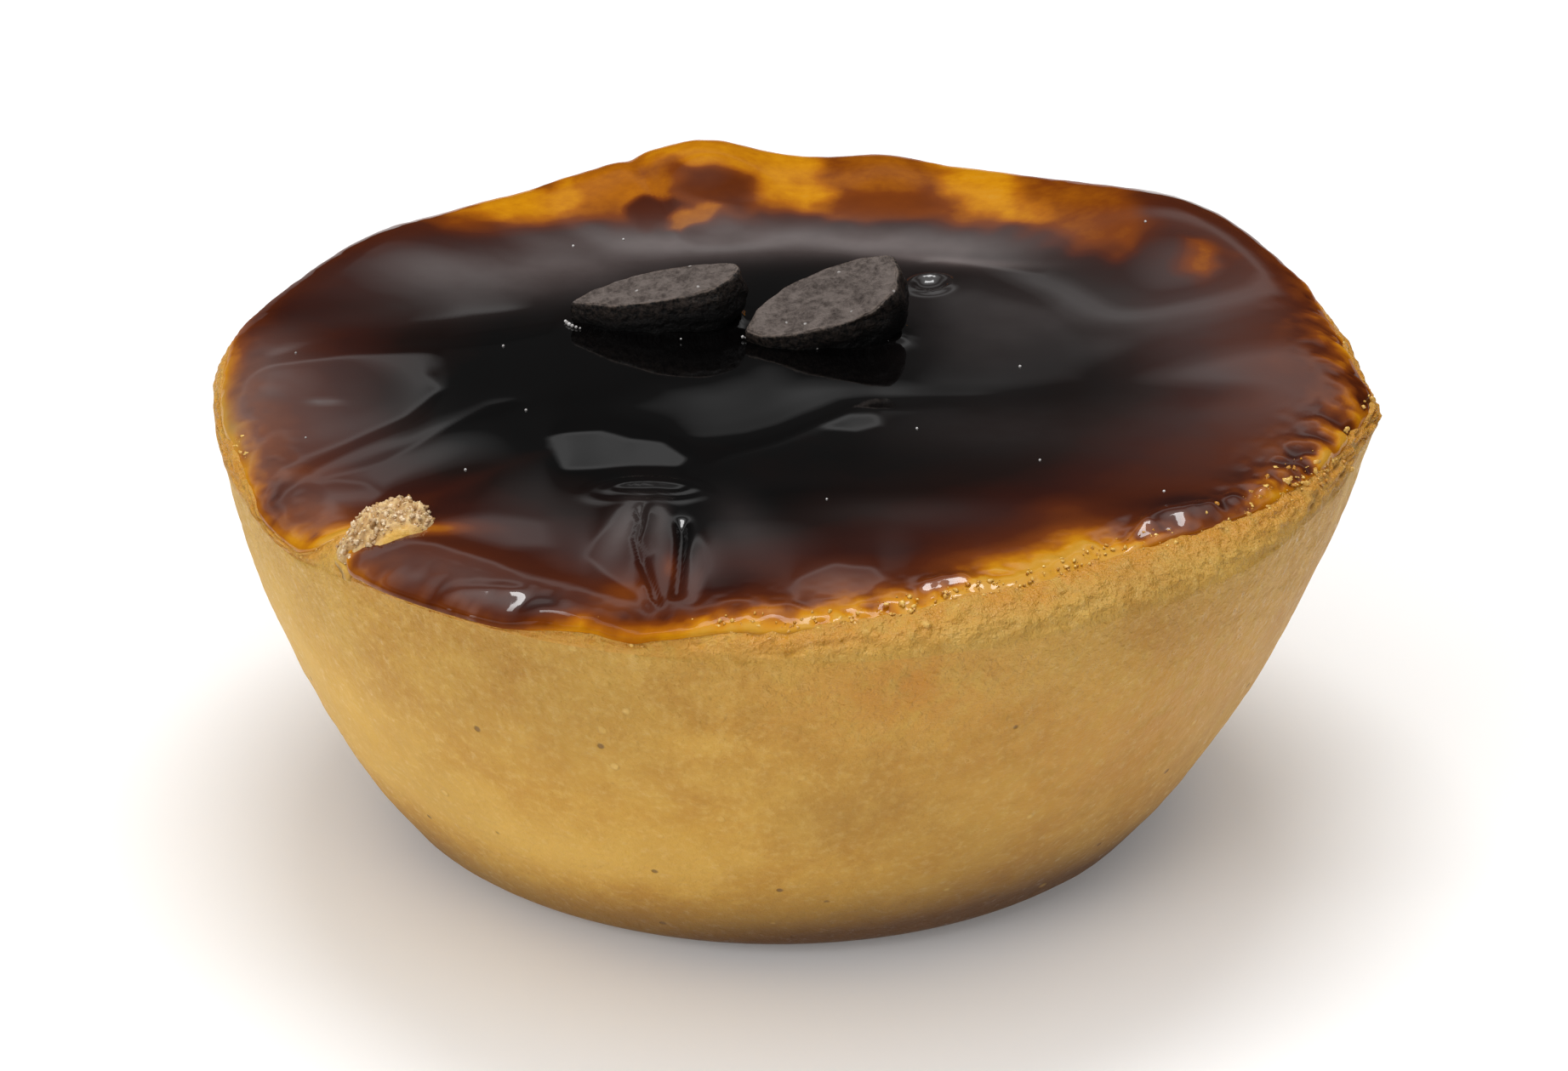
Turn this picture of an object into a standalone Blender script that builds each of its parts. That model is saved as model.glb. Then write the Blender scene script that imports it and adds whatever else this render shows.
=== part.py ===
"""Coffee queijada: a small baked tart with a dark coffee glaze and two pieces of chocolate on top.

Metres, +Z up. The tart rests on its flat base at z = 0, with its front towards -Y.

The tart's outer skin is one master surface S(azimuth, s). The distance s runs from the middle of the
top outwards along the skin: over the level top to the crest of the rim, round the lip and down the wall.
The glaze is the layer just under that surface as far as its own border, and the baked body is all the
rest, less a gap that keeps the two solids apart.
"""

import math

import bpy
import numpy as np

MM = 0.001

# Driving dimensions of the baked tart
RIM_RADIUS = 34.9 * MM
RIM_HEIGHT = 27.5 * MM
BASE_RADIUS = 20.8 * MM
BASE_FILLET = 5.0 * MM
WALL_BULGE = 1.6 * MM
BASE_LEAN = -0.8 * MM
LIP_WIDTH = 3.4 * MM
LIP_DROP = 2.0 * MM
TOP_DISH = 0.35 * MM

# Glaze
GLAZE_MIDDLE = 2.4 * MM
GLAZE_AT_CREST = 0.9 * MM
GLAZE_EDGE = 0.35 * MM
GLAZE_BORDER = 2.7 * MM
GAP = 0.4 * MM
BORDER_GAP = 0.8 * MM

# Grid of the faceted solids
AZIMUTHS = 96
TOP_SHARES = (0.2, 0.4, 0.58, 0.74, 0.87, 0.95, 1.0)
LIP_RINGS = 3
WALL_RINGS = 6
FILLET_RINGS = 4

# Lumps of the rim: azimuth and half width in degrees, lift in millimetres
RIM_LUMPS = (
    (2.0, 12.0, 0.6),
    (38.0, 17.0, 1.9),
    (79.0, 5.0, 0.55),
    (103.0, 9.0, 1.9),
    (121.0, 4.0, -0.3),
    (138.0, 10.0, 0.5),
    (180.0, 12.0, 1.0),
    (-138.0, 6.0, 0.5),
)
RIM_RISE = 0.35 * MM
RIM_TILT = 1.05 * MM
RIM_TILT_TOWARDS = 70.0

# Bulges of the rim's radius: azimuth and half width in degrees, reach in millimetres
RIM_BULGES = (
    (-7.0, 5.0, 0.8),
    (20.0, 5.0, 0.3),
    (-140.0, 14.0, 0.1),
    (120.0, 20.0, 0.3),
)

# Where the glaze stops short of its usual border or runs past it: azimuth and half width in degrees,
# reach in millimetres
BORDER_CHANGES = (
    (-57.0, 26.0, -2.4),
    (-120.0, 12.0, 1.5),
    (-139.0, 8.0, -5.0),
    (-150.0, 8.0, -0.6),
    (-10.0, 6.0, -0.9),
)

# Pools of glaze that stand proud of the rim: azimuth and half width in degrees, distance from the crest
# and half length in millimetres, height in millimetres
POOLS = (
    (-121.0, 10.0, 1.6, 2.6, 0.7),
    (-147.0, 6.0, -1.5, 3.0, 0.5),
    (-86.0, 4.0, -0.4, 1.8, 0.4),
    (-44.0, 7.0, -0.8, 1.6, 0.5),
)

# The two-lobed fold of glaze at the front, like a glazed coffee bean
FOLD_AZIMUTH = -106.0
FOLD_HALF_WIDTH = 5.5
FOLD_FROM_CREST = -3.5 * MM
FOLD_HALF_LENGTH = 4.6 * MM
FOLD_HEIGHT = 0.8 * MM

# Chocolate pieces: a pointed cut face over steep sides, its right end broken off square. Size is length,
# width and depth; end is the share of the half length at which the end is broken off; place is the
# middle of the cut face; turns are the tilt about X, the tilt about Y and the turn about Z, in degrees
CHOCOLATES = {
    "chocolate_piece_left": {
        "size": (10.9 * MM, 5.2 * MM, 3.5 * MM),
        "end": 0.92,
        "place": (-8.2 * MM, 8.4 * MM, 29.5 * MM),
        "turns": (2.0, -11.0, 0.0),
    },
    "chocolate_piece_right": {
        "size": (11.3 * MM, 6.0 * MM, 3.9 * MM),
        "end": 0.78,
        "place": (2.5 * MM, 6.1 * MM, 29.9 * MM),
        "turns": (20.0, -17.0, 3.0),
    },
}
CHOCOLATE_SIDES = 24
CHOCOLATE_LEVELS = 5
CHOCOLATE_POINT = 0.8
FOOT_TAPER = 0.3
WAIST_SWELL = 0.06
POCKET_GAP = 0.3 * MM

# Edges that turn by more than this are sharp, in degrees
SHARP_EDGE = 40.0

# Finishes: colour, roughness
FINISHES = {
    "baked_crust": ((0.56, 0.34, 0.105), 0.55),
    "coffee_glaze": ((0.022, 0.009, 0.004), 0.08),
    "dark_chocolate": ((0.035, 0.020, 0.014), 0.6),
}


def bump(distance, half_width):
    """A smooth bump of height 1 that falls to 1/e at the half width."""
    return np.exp(-((distance / half_width) ** 2))


def turn_between(azimuth, middle):
    """The angle from middle to azimuth, in degrees, within half a turn either way."""
    return (azimuth - middle + 180.0) % 360.0 - 180.0


def sum_of_bumps(azimuth, bumps):
    """Adds up bumps given as azimuth, half width and height, and returns metres."""
    total = np.zeros_like(azimuth)
    for middle, half_width, height in bumps:
        total += height * MM * bump(turn_between(azimuth, middle), half_width)
    return total


def smooth(value, low, high):
    """Rises smoothly from 0 at low to 1 at high."""
    t = np.clip((value - low) / (high - low), 0.0, 1.0)
    return t * t * (3.0 - 2.0 * t)


def rim_lift(azimuth):
    """How far the rim's crest stands over its usual height."""
    tilt = RIM_TILT * np.cos(np.radians(azimuth - RIM_TILT_TOWARDS))
    return RIM_RISE + tilt + sum_of_bumps(azimuth, RIM_LUMPS)


def rim_radius(azimuth):
    """The outer radius of the rim."""
    return RIM_RADIUS + sum_of_bumps(azimuth, RIM_BULGES)


def glaze_border(azimuth):
    """The distance s at which the glaze ends, short of the foot of the lip."""
    past_crest = GLAZE_BORDER + sum_of_bumps(azimuth, BORDER_CHANGES)
    return rim_radius(azimuth) - LIP_WIDTH + np.minimum(past_crest, lip_length() - 1.5 * BORDER_GAP)


def proud(azimuth, s):
    """How far pools and the two-lobed fold stand out of the plain skin."""
    from_crest = s - (rim_radius(azimuth) - LIP_WIDTH)
    height = np.zeros_like(azimuth)
    for middle, half_width, place, half_length, pool in POOLS:
        across = bump(turn_between(azimuth, middle), half_width)
        height += pool * MM * across * bump(from_crest - place * MM, half_length * MM)
    across = turn_between(azimuth, FOLD_AZIMUTH) / FOLD_HALF_WIDTH
    lobes = np.clip(1.0 - across**2, 0.0, 1.0) - 0.6 * bump(across, 0.22)
    along = bump(from_crest - FOLD_FROM_CREST, FOLD_HALF_LENGTH)
    return height + FOLD_HEIGHT * np.clip(lobes, 0.0, 1.0) * along


def wall_path():
    """The wall from the end of the base fillet to the lip: radius, height, and the fillet's end angle."""
    across = RIM_RADIUS - BASE_RADIUS
    up = RIM_HEIGHT - LIP_DROP - BASE_FILLET
    reach = math.hypot(across, up)
    lean = math.atan2(up, across) - math.asin(BASE_FILLET / reach)
    share = np.linspace(0.0, 1.0, WALL_RINGS + 1)[1:]
    start_r = BASE_RADIUS + BASE_FILLET * math.sin(lean)
    start_z = BASE_FILLET - BASE_FILLET * math.cos(lean)
    swell = WALL_BULGE * 4.0 * share * (1.0 - share)
    radius = start_r + (RIM_RADIUS - start_r) * share + swell * math.sin(lean)
    height = start_z + (RIM_HEIGHT - LIP_DROP - start_z) * share - swell * math.cos(lean)
    return radius, height, lean


def skin(azimuth, s):
    """Radius, height, and the outward normal in the radial plane, of the plain skin at each s."""
    crest = rim_radius(azimuth) - LIP_WIDTH
    lift = rim_lift(azimuth) * smooth(s / crest, 0.6, 1.0)
    lip_angle = np.clip((s - crest) / lip_length(), 0.0, 1.0) * math.pi / 2.0
    radius = np.minimum(s, crest) + LIP_WIDTH * np.sin(lip_angle)
    dish = TOP_DISH * (1.0 - np.clip(s / crest, 0.0, 1.0) ** 2)
    height = RIM_HEIGHT + lift - dish - LIP_DROP * (1.0 - np.cos(lip_angle))
    normal_r = np.sin(lip_angle)
    normal_z = np.cos(lip_angle)
    return radius, height, normal_r, normal_z


def lip_length():
    """The length of the lip's quarter ellipse."""
    return math.pi / 2.0 * math.sqrt((LIP_WIDTH**2 + LIP_DROP**2) / 2.0)


def glaze_depth(azimuth, s):
    """The thickness of the glaze, thick in the middle and thin at its border."""
    crest = rim_radius(azimuth) - LIP_WIDTH
    middle = GLAZE_MIDDLE + (GLAZE_AT_CREST - GLAZE_MIDDLE) * smooth(s / crest, 0.35, 0.95)
    edge = smooth(glaze_border(azimuth) - s, -0.2 * MM, 2.5 * MM)
    return GLAZE_EDGE + (middle - GLAZE_EDGE) * edge + proud(azimuth, s) * edge


def ring(azimuth, s, depth):
    """The ring of points at distance s, moved inwards along the normal by depth."""
    radius, height, normal_r, normal_z = skin(azimuth, s)
    out = proud(azimuth, s) - depth
    radius = radius + normal_r * out
    height = height + normal_z * out
    turn = np.radians(azimuth)
    return np.column_stack((radius * np.cos(turn), radius * np.sin(turn), height))


def closed_solid(name, rings, finish):
    """A closed mesh from rings listed from the lower pole to the upper one; a pole is one point."""
    count = len(rings[1])
    points = np.vstack(rings)
    faces = []
    first = 1
    for side in range(count):
        beside = (side + 1) % count
        faces.append((0, first + beside, first + side))
    for level in range(len(rings) - 3):
        low = first + level * count
        high = low + count
        for side in range(count):
            beside = (side + 1) % count
            faces.append((low + side, low + beside, high + beside, high + side))
    last = first + (len(rings) - 3) * count
    top = len(points) - 1
    for side in range(count):
        beside = (side + 1) % count
        faces.append((last + side, last + beside, top))
    mesh = bpy.data.meshes.new(name)
    mesh.from_pydata(points.tolist(), [], faces)
    mesh.shade_smooth()
    mesh.set_sharp_from_angle(angle=math.radians(SHARP_EDGE))
    thing = bpy.data.objects.new(name, mesh)
    bpy.context.scene.collection.objects.link(thing)
    mesh.materials.append(finish)
    return thing


def finish_named(name):
    """A plain Principled material."""
    colour, roughness = FINISHES[name]
    material = bpy.data.materials.new(name)
    material.use_nodes = True
    shader = material.node_tree.nodes["Principled BSDF"]
    shader.inputs["Base Color"].default_value = (*colour, 1.0)
    shader.inputs["Roughness"].default_value = roughness
    return material


def base_rings(azimuth):
    """The flat base, its rounded edge and the wall up to the lip, for the body."""
    turn = np.radians(azimuth)
    wall_r, wall_z, lean = wall_path()
    fillet = np.linspace(0.0, lean, FILLET_RINGS + 1)
    low_r = BASE_RADIUS + BASE_FILLET * np.sin(fillet)
    low_z = BASE_FILLET - BASE_FILLET * np.cos(fillet)
    radii = np.concatenate((low_r, wall_r))
    heights = np.concatenate((low_z, wall_z))
    rings = [np.array([[BASE_LEAN, 0.0, 0.0]])]
    for radius, height in zip(radii, heights):
        share = height / (RIM_HEIGHT - LIP_DROP)
        swell = (rim_radius(azimuth) - RIM_RADIUS) * share
        lift = rim_lift(azimuth) * share
        lean_here = BASE_LEAN * (1.0 - share)
        x = (radius + swell) * np.cos(turn) + lean_here
        y = (radius + swell) * np.sin(turn)
        rings.append(np.column_stack((x, y, height + lift)))
    return rings


def baked_body(azimuth):
    """The baked body: base, wall, lip, then the recess that the glaze fills."""
    rings = base_rings(azimuth)
    foot = rim_radius(azimuth) - LIP_WIDTH + lip_length()
    step = glaze_border(azimuth) + BORDER_GAP
    for share in np.linspace(0.0, 1.0, LIP_RINGS + 2)[1:]:
        s = foot + (step - foot) * share
        rings.append(ring(azimuth, s, 0.0))
    for share in TOP_SHARES[::-1]:
        s = step * share
        rings.append(ring(azimuth, s, glaze_depth(azimuth, s) + GAP))
    middle = RIM_HEIGHT - TOP_DISH - GLAZE_MIDDLE - GAP
    rings.append(np.array([[0.0, 0.0, middle]]))
    return closed_solid("tart_body", rings, finish_named("baked_crust"))


def coffee_glaze(azimuth):
    """The glaze: its underside outwards to the border, a rounded edge, and its top back to the middle."""
    border = glaze_border(azimuth)
    rings = [np.array([[0.0, 0.0, RIM_HEIGHT - TOP_DISH - GLAZE_MIDDLE]])]
    for share in TOP_SHARES:
        s = border * share
        rings.append(ring(azimuth, s, glaze_depth(azimuth, s)))
    for share in TOP_SHARES[::-1]:
        s = border * share
        rings.append(ring(azimuth, s, 0.0))
    rings.append(np.array([[0.0, 0.0, RIM_HEIGHT - TOP_DISH]]))
    return closed_solid("coffee_glaze", rings, finish_named("coffee_glaze"))


def chocolate_rings(size, end, grow):
    """A pointed flat face over sides that swell a little and narrow at the foot, grown outwards by grow."""
    length, width, depth = size
    turn = np.linspace(0.0, 2.0 * math.pi, CHOCOLATE_SIDES, endpoint=False)
    along = np.minimum(np.cos(turn), end) * length / 2.0 + np.sign(np.cos(turn)) * grow
    across = np.sign(np.sin(turn)) * np.abs(np.sin(turn)) ** (1.0 / CHOCOLATE_POINT)
    outline = np.column_stack((along, across * (width / 2.0 + grow)))
    rings = [np.array([[0.0, 0.0, -depth - grow]])]
    for level in range(CHOCOLATE_LEVELS, 0, -1):
        down = level / CHOCOLATE_LEVELS
        spread = 1.0 + WAIST_SWELL * math.sin(math.pi * down) - FOOT_TAPER * down**4
        z = np.full(CHOCOLATE_SIDES, -depth * down * 0.92 - grow * down)
        rings.append(np.column_stack((outline * spread, z)))
    rings.append(np.column_stack((outline, np.full(CHOCOLATE_SIDES, grow))))
    rings.append(np.array([[0.0, 0.0, grow]]))
    return rings


def set_down(thing, place, turns):
    """Places a chocolate piece by the middle and the tilt of its cut face."""
    thing.location = place
    thing.rotation_euler = [math.radians(angle) for angle in turns]


def chocolate_pieces(glaze):
    """The two pieces of chocolate, and the pockets that they press into the glaze."""
    finish = finish_named("dark_chocolate")
    for name, facts in CHOCOLATES.items():
        piece = closed_solid(name, chocolate_rings(facts["size"], facts["end"], 0.0), finish)
        set_down(piece, facts["place"], facts["turns"])
        pocket_rings = chocolate_rings(facts["size"], facts["end"], POCKET_GAP)
        cutter = closed_solid("pocket_" + name, pocket_rings, finish)
        set_down(cutter, facts["place"], facts["turns"])
        cutter.hide_render = True
        cutter.display_type = "WIRE"
        pocket = glaze.modifiers.new("pocket", "BOOLEAN")
        pocket.operation = "DIFFERENCE"
        pocket.solver = "EXACT"
        pocket.object = cutter


def main():
    """Clears the scene and builds the tart."""
    for thing in list(bpy.data.objects):
        bpy.data.objects.remove(thing)
    azimuth = np.linspace(-180.0, 180.0, AZIMUTHS, endpoint=False)
    baked_body(azimuth)
    glaze = coffee_glaze(azimuth)
    chocolate_pieces(glaze)


main()
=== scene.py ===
"""The looks of a coffee queijada: a pale baked cup, dark coffee caramel and two chunks of chocolate.

All shapes are worked out in millimetres in the frame of the part, +Z up with the front towards -Y, and
become metres when a mesh is made.
"""

import logging
import math
from dataclasses import dataclass, field
from enum import Enum
from typing import Any

import bmesh
import bpy
import numpy as np
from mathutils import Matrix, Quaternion, Vector


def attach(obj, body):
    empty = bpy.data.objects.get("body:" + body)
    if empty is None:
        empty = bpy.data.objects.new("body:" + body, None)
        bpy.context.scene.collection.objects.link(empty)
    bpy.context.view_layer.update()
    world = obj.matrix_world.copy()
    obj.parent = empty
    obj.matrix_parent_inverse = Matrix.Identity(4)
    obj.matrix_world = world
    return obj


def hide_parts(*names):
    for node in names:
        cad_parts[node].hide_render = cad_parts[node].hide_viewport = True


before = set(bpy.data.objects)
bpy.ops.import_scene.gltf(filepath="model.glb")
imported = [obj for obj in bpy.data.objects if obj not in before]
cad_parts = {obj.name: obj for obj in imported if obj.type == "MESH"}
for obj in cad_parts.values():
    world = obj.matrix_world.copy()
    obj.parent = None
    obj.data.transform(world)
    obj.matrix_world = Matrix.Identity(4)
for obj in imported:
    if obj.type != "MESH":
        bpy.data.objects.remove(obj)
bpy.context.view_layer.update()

LOG = logging.getLogger("queijada")
MM = 0.001
Array = np.ndarray
Points = tuple[tuple[float, float], ...]
Colour = tuple[float, float, float]
Bumps = tuple[tuple[float, float, float], ...]  # azimuth, half width, height
Patches = tuple[tuple[float, float, float, float, float], ...]  # numbers in the order each table says


# Small helpers on arrays


def smooth(value: Array, low: float, high: float) -> Array:
    """Rises from 0 at low to 1 at high as 3t^2 - 2t^3."""
    t = np.clip((value - low) / (high - low), 0.0, 1.0)
    return t * t * (3.0 - 2.0 * t)


def bump(distance: Array, half_width: float) -> Array:
    """exp(-(d / w)^2): 1 in the middle and 1/e at the half width."""
    return np.exp(-((distance / half_width) ** 2))


def turn_between(azimuth: Array, middle: float) -> Array:
    """The angle from middle to azimuth in degrees, within half a turn either way."""
    return (azimuth - middle + 180.0) % 360.0 - 180.0


def sum_of_bumps(azimuth: Array, bumps: Bumps) -> Array:
    """Adds bumps of an azimuth, a half width in degrees and a height.

    Args:
        azimuth: angles in degrees.
        bumps: (middle, half width, height) of each bump.

    Returns:
        The sum of height * exp(-(turn / half width)^2).
    """
    total = np.zeros_like(azimuth)
    for middle, half_width, height in bumps:
        total = total + height * bump(turn_between(azimuth, middle), half_width)
    return total


def lattice_noise(u: Array, v: Array, seed: int, period: int = 0) -> Array:
    """Smooth noise between -1 and 1 on a unit lattice.

    Each lattice point holds a random height, and a point between four of them blends those by
    3t^2 - 2t^3 along u and along v.

    Args:
        u: first coordinate, in lattice steps.
        v: second coordinate, in lattice steps.
        seed: seed of the random heights.
        period: number of steps after which u repeats, or 0.

    Returns:
        An array of the shape of u.
    """
    heights = np.random.default_rng(seed).uniform(-1.0, 1.0, (256, 256))
    wrap = period or 256
    iu = np.floor(u).astype(int)
    iv = np.floor(v).astype(int)
    fu = u - iu
    fv = v - iv
    fu = fu * fu * (3.0 - 2.0 * fu)
    fv = fv * fv * (3.0 - 2.0 * fv)
    u0 = iu % wrap % 256
    u1 = (iu + 1) % wrap % 256
    v0 = iv % 256
    v1 = (iv + 1) % 256
    low = heights[u0, v0] * (1.0 - fu) + heights[u1, v0] * fu
    high = heights[u0, v1] * (1.0 - fu) + heights[u1, v1] * fu
    return low * (1.0 - fv) + high * fv


def mottling(x: Array, y: Array, cell: tuple[float, float], seed: int, shift: float) -> Array:
    """Lattice noise on places in millimetres, with cells of that size, away from the lattice's seam."""
    return lattice_noise(x / cell[0] + shift, y / cell[1] + shift, seed)


def distance_to_path(x: Array, y: Array, path: Points, closed: bool = False) -> tuple[Array, Array, Array]:
    """Distance from each point to a broken line.

    Args:
        x: places along X.
        y: places along Y.
        path: corners of the line.
        closed: whether the last corner joins the first.

    Returns:
        The distance; the same with a sign, positive on the left of the line's direction; and the
        share of the line's length at the nearest point.
    """
    corners = np.array(path + (path[:1] if closed else ()), float)
    lengths = np.hypot(*np.diff(corners, axis=0).T)
    total = lengths.sum()
    best = np.full(np.shape(x), np.inf)
    side = np.ones(np.shape(x))
    share = np.zeros(np.shape(x))
    start = 0.0
    for (ax, ay), (bx, by), length in zip(corners[:-1], corners[1:], lengths):
        dx, dy = (bx - ax) / length, (by - ay) / length
        along = np.clip((x - ax) * dx + (y - ay) * dy, 0.0, length)
        gap = np.hypot(x - ax - dx * along, y - ay - dy * along)
        near = gap < best
        best = np.where(near, gap, best)
        side = np.where(near, np.sign(dx * (y - ay) - dy * (x - ax)), side)
        share = np.where(near, (start + along) / total, share)
        start += length
    return best, best * side, share


def depth_inside(x: Array, y: Array, outline: Points) -> Array:
    """How far each point lies inside a closed outline, negative outside it."""
    corners = np.array(outline, float)
    inside = np.zeros(np.shape(x), bool)
    for (ax, ay), (bx, by) in zip(corners, np.roll(corners, -1, axis=0)):
        crosses = (ay > y) != (by > y)
        at = ax + (y - ay) * (bx - ax) / (by - ay if by != ay else 1e-9)
        inside ^= crosses & (x < at)
    gap, _, _ = distance_to_path(x, y, outline, closed=True)
    return np.where(inside, gap, -gap)


# Meshes from grids


def grid_faces(rings: int, count: int) -> Array:
    """Quads between rings of count points that close on themselves, outwards for rings that rise."""
    level = np.arange(rings - 1)[:, None] * count
    side = np.arange(count)[None, :]
    beside = (side + 1) % count
    quads = np.stack((level + side, level + beside, level + beside + count, level + side + count), -1)
    return quads.reshape(-1, 4)


def make_piece(name: str, points: Array, quads: Array, fans: list[Array], finish: Any) -> bpy.types.Object:
    """Makes a mesh object at the origin.

    Args:
        name: the object's name.
        points: places in millimetres, one row each.
        quads: four indices for each face.
        fans: arrays of three indices for each triangle.
        finish: the material.

    Returns:
        The object, smooth-shaded and linked to the scene.
    """
    corners = [quads.ravel()] + [fan.ravel() for fan in fans]
    sizes = [np.full(len(quads), 4)] + [np.full(len(fan), 3) for fan in fans]
    loops = np.concatenate(corners).astype(np.int32)
    totals = np.concatenate(sizes).astype(np.int32)
    mesh = bpy.data.meshes.new(name)
    mesh.vertices.add(len(points))
    mesh.vertices.foreach_set("co", (points * MM).astype(np.float32).ravel())
    mesh.loops.add(len(loops))
    mesh.loops.foreach_set("vertex_index", loops)
    mesh.polygons.add(len(totals))
    starts = np.concatenate(([0], np.cumsum(totals)[:-1])).astype(np.int32)
    mesh.polygons.foreach_set("loop_start", starts)
    mesh.update(calc_edges=True)
    mesh.validate()
    mesh.shade_smooth()
    mesh.materials.append(finish)
    thing = bpy.data.objects.new(name, mesh)
    bpy.context.scene.collection.objects.link(thing)
    return thing


def add_attribute(thing: bpy.types.Object, name: str, values: Array) -> None:
    """Stores one number for each vertex of a mesh."""
    layer = thing.data.attributes.new(name, "FLOAT", "POINT")
    layer.data.foreach_set("value", values.astype(np.float32))


class RingStack:
    """The rings of a closed piece, from its low pole to its high one, with attributes of their points."""

    def __init__(self, *names: str) -> None:
        """Starts with no rings and the named attributes."""
        self.rings: list[Array] = []
        self.values: dict[str, list[Array]] = {name: [] for name in names}

    def add(self, points: Array, **values: Array | float) -> None:
        """Adds a ring, or a pole of one point. An attribute that isn't given is 0 there."""
        self.rings.append(points)
        for name, kept in self.values.items():
            kept.append(np.broadcast_to(values.get(name, 0.0), len(points)))

    def piece(self, name: str, finish: Any) -> bpy.types.Object:
        """Makes the closed piece, with quads between its rings and a fan at each pole."""
        count = len(self.rings[1])
        points = np.vstack(self.rings)
        quads = grid_faces(len(self.rings) - 2, count) + 1
        side = np.arange(count)
        beside = (side + 1) % count
        low = np.stack((np.zeros(count, int), beside + 1, side + 1), -1)
        last = len(points) - 1 - count
        high = np.stack((last + side, last + beside, np.full(count, len(points) - 1)), -1)
        thing = make_piece(name, points, quads, [low, high], finish)
        for key, kept in self.values.items():
            add_attribute(thing, key, np.concatenate(kept))
        return thing


# The form shared by the cup and the glaze


@dataclass(frozen=True)
class Form:
    """The master skin of the tart, as the solids have it.

    The distance s runs outwards from the middle of the top: level to the crest of the rim, then
    round the lip. Lengths are in millimetres and angles in degrees.
    """

    rim_radius: float = 34.9
    rim_height: float = 27.5
    base_radius: float = 20.8
    base_fillet: float = 5.0
    wall_bulge: float = 1.6
    base_lean: float = -0.8
    lip_width: float = 3.4
    lip_drop: float = 2.0
    top_dish: float = 0.35
    glaze_border: float = 2.7
    border_gap: float = 0.45
    rim_rise: float = 0.35
    rim_tilt: float = 1.05
    rim_tilt_towards: float = 70.0
    rim_lumps: Bumps = (
        (2.0, 12.0, 0.6), (38.0, 17.0, 1.9), (79.0, 5.0, 0.45), (99.0, 6.5, 0.85), (104.0, 8.0, 0.85),
        (108.6, 1.2, -0.25), (122.0, 5.0, -0.35), (132.0, 8.0, -0.4), (142.0, 9.0, 0.3), (180.0, 12.0, 1.0),
        (-146.0, 8.0, -0.7),
    )
    rim_bulges: Bumps = (
        (-7.0, 5.0, 0.8), (20.0, 5.0, 0.3), (-140.0, 14.0, 0.1), (120.0, 20.0, 0.3),
    )
    border_changes: Bumps = (
        (-57.0, 26.0, -2.4), (-125.0, 14.0, 1.7), (-104.0, 4.0, 0.5), (-138.5, 2.2, -2.4), (-147.0, 6.5, 1.5),
        (160.0, 16.0, 1.0), (-168.0, 9.0, 0.6), (28.0, 14.0, 1.0), (-8.0, 12.0, 0.7),
    )
    rough_azimuths: Bumps = (
        (-20.0, 22.0, 0.9), (4.0, 16.0, 0.5), (-160.0, 22.0, 0.35), (-84.0, 18.0, 0.40), (-60.0, 14.0, 0.40),
    )

    def lip_length(self) -> float:
        """The length of the lip's quarter ellipse."""
        return math.pi / 2.0 * math.sqrt((self.lip_width**2 + self.lip_drop**2) / 2.0)

    def lift(self, azimuth: Array) -> Array:
        """How far the crest of the rim stands over its usual height."""
        tilt = self.rim_tilt * np.cos(np.radians(azimuth - self.rim_tilt_towards))
        return self.rim_rise + tilt + sum_of_bumps(azimuth, self.rim_lumps)

    def radius(self, azimuth: Array) -> Array:
        """The outer radius of the rim."""
        return self.rim_radius + sum_of_bumps(azimuth, self.rim_bulges)

    def crest(self, azimuth: Array) -> Array:
        """The distance s of the crest of the rim."""
        return self.radius(azimuth) - self.lip_width

    def border(self, azimuth: Array) -> Array:
        """The distance s at which the glaze ends, wavering by a few tenths."""
        past = self.glaze_border + sum_of_bumps(azimuth, self.border_changes)
        front = bump(turn_between(azimuth, -90.0), 75.0)
        waver = (0.4 + 0.6 * front) * (1.0 - 0.8 * bump(turn_between(azimuth, -124.0), 12.0))
        past = past + waver * 0.30 * lattice_noise(azimuth / 7.2, azimuth * 0.0, 11, 50)
        past = past + waver * 0.16 * lattice_noise(azimuth / 2.0, azimuth * 0.0, 12, 180)
        return self.crest(azimuth) + np.minimum(past, self.lip_length() - self.border_gap)

    def crumbling(self, azimuth: Array) -> Array:
        """How crumbly the rim is, from 0 to about 1."""
        return sum_of_bumps(azimuth, self.rough_azimuths)

    def skin(self, azimuth: Array, s: Array, out: Array) -> Array:
        """Places on the skin.

        x and y are (r + n_r * out) * (cos a, sin a), and z is h + n_z * out, with (r, h) the profile of
        the top and the lip and (n_r, n_z) its outward direction.

        Args:
            azimuth: angles in degrees.
            s: distances from the middle of the top.
            out: how far each place stands out of the skin.

        Returns:
            One row of x, y and z for each place.
        """
        crest = self.crest(azimuth)
        lift = self.lift(azimuth) * smooth(s / crest, 0.6, 1.0)
        angle = np.clip((s - crest) / self.lip_length(), 0.0, 1.0) * math.pi / 2.0
        radius = np.minimum(s, crest) + self.lip_width * np.sin(angle)
        dish = self.top_dish * (1.0 - np.clip(s / crest, 0.0, 1.0) ** 2)
        height = self.rim_height + lift - dish - self.lip_drop * (1.0 - np.cos(angle))
        radius = radius + np.sin(angle) * out
        height = height + np.cos(angle) * out
        turn = np.radians(azimuth)
        return np.column_stack((radius * np.cos(turn), radius * np.sin(turn), height))

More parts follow.
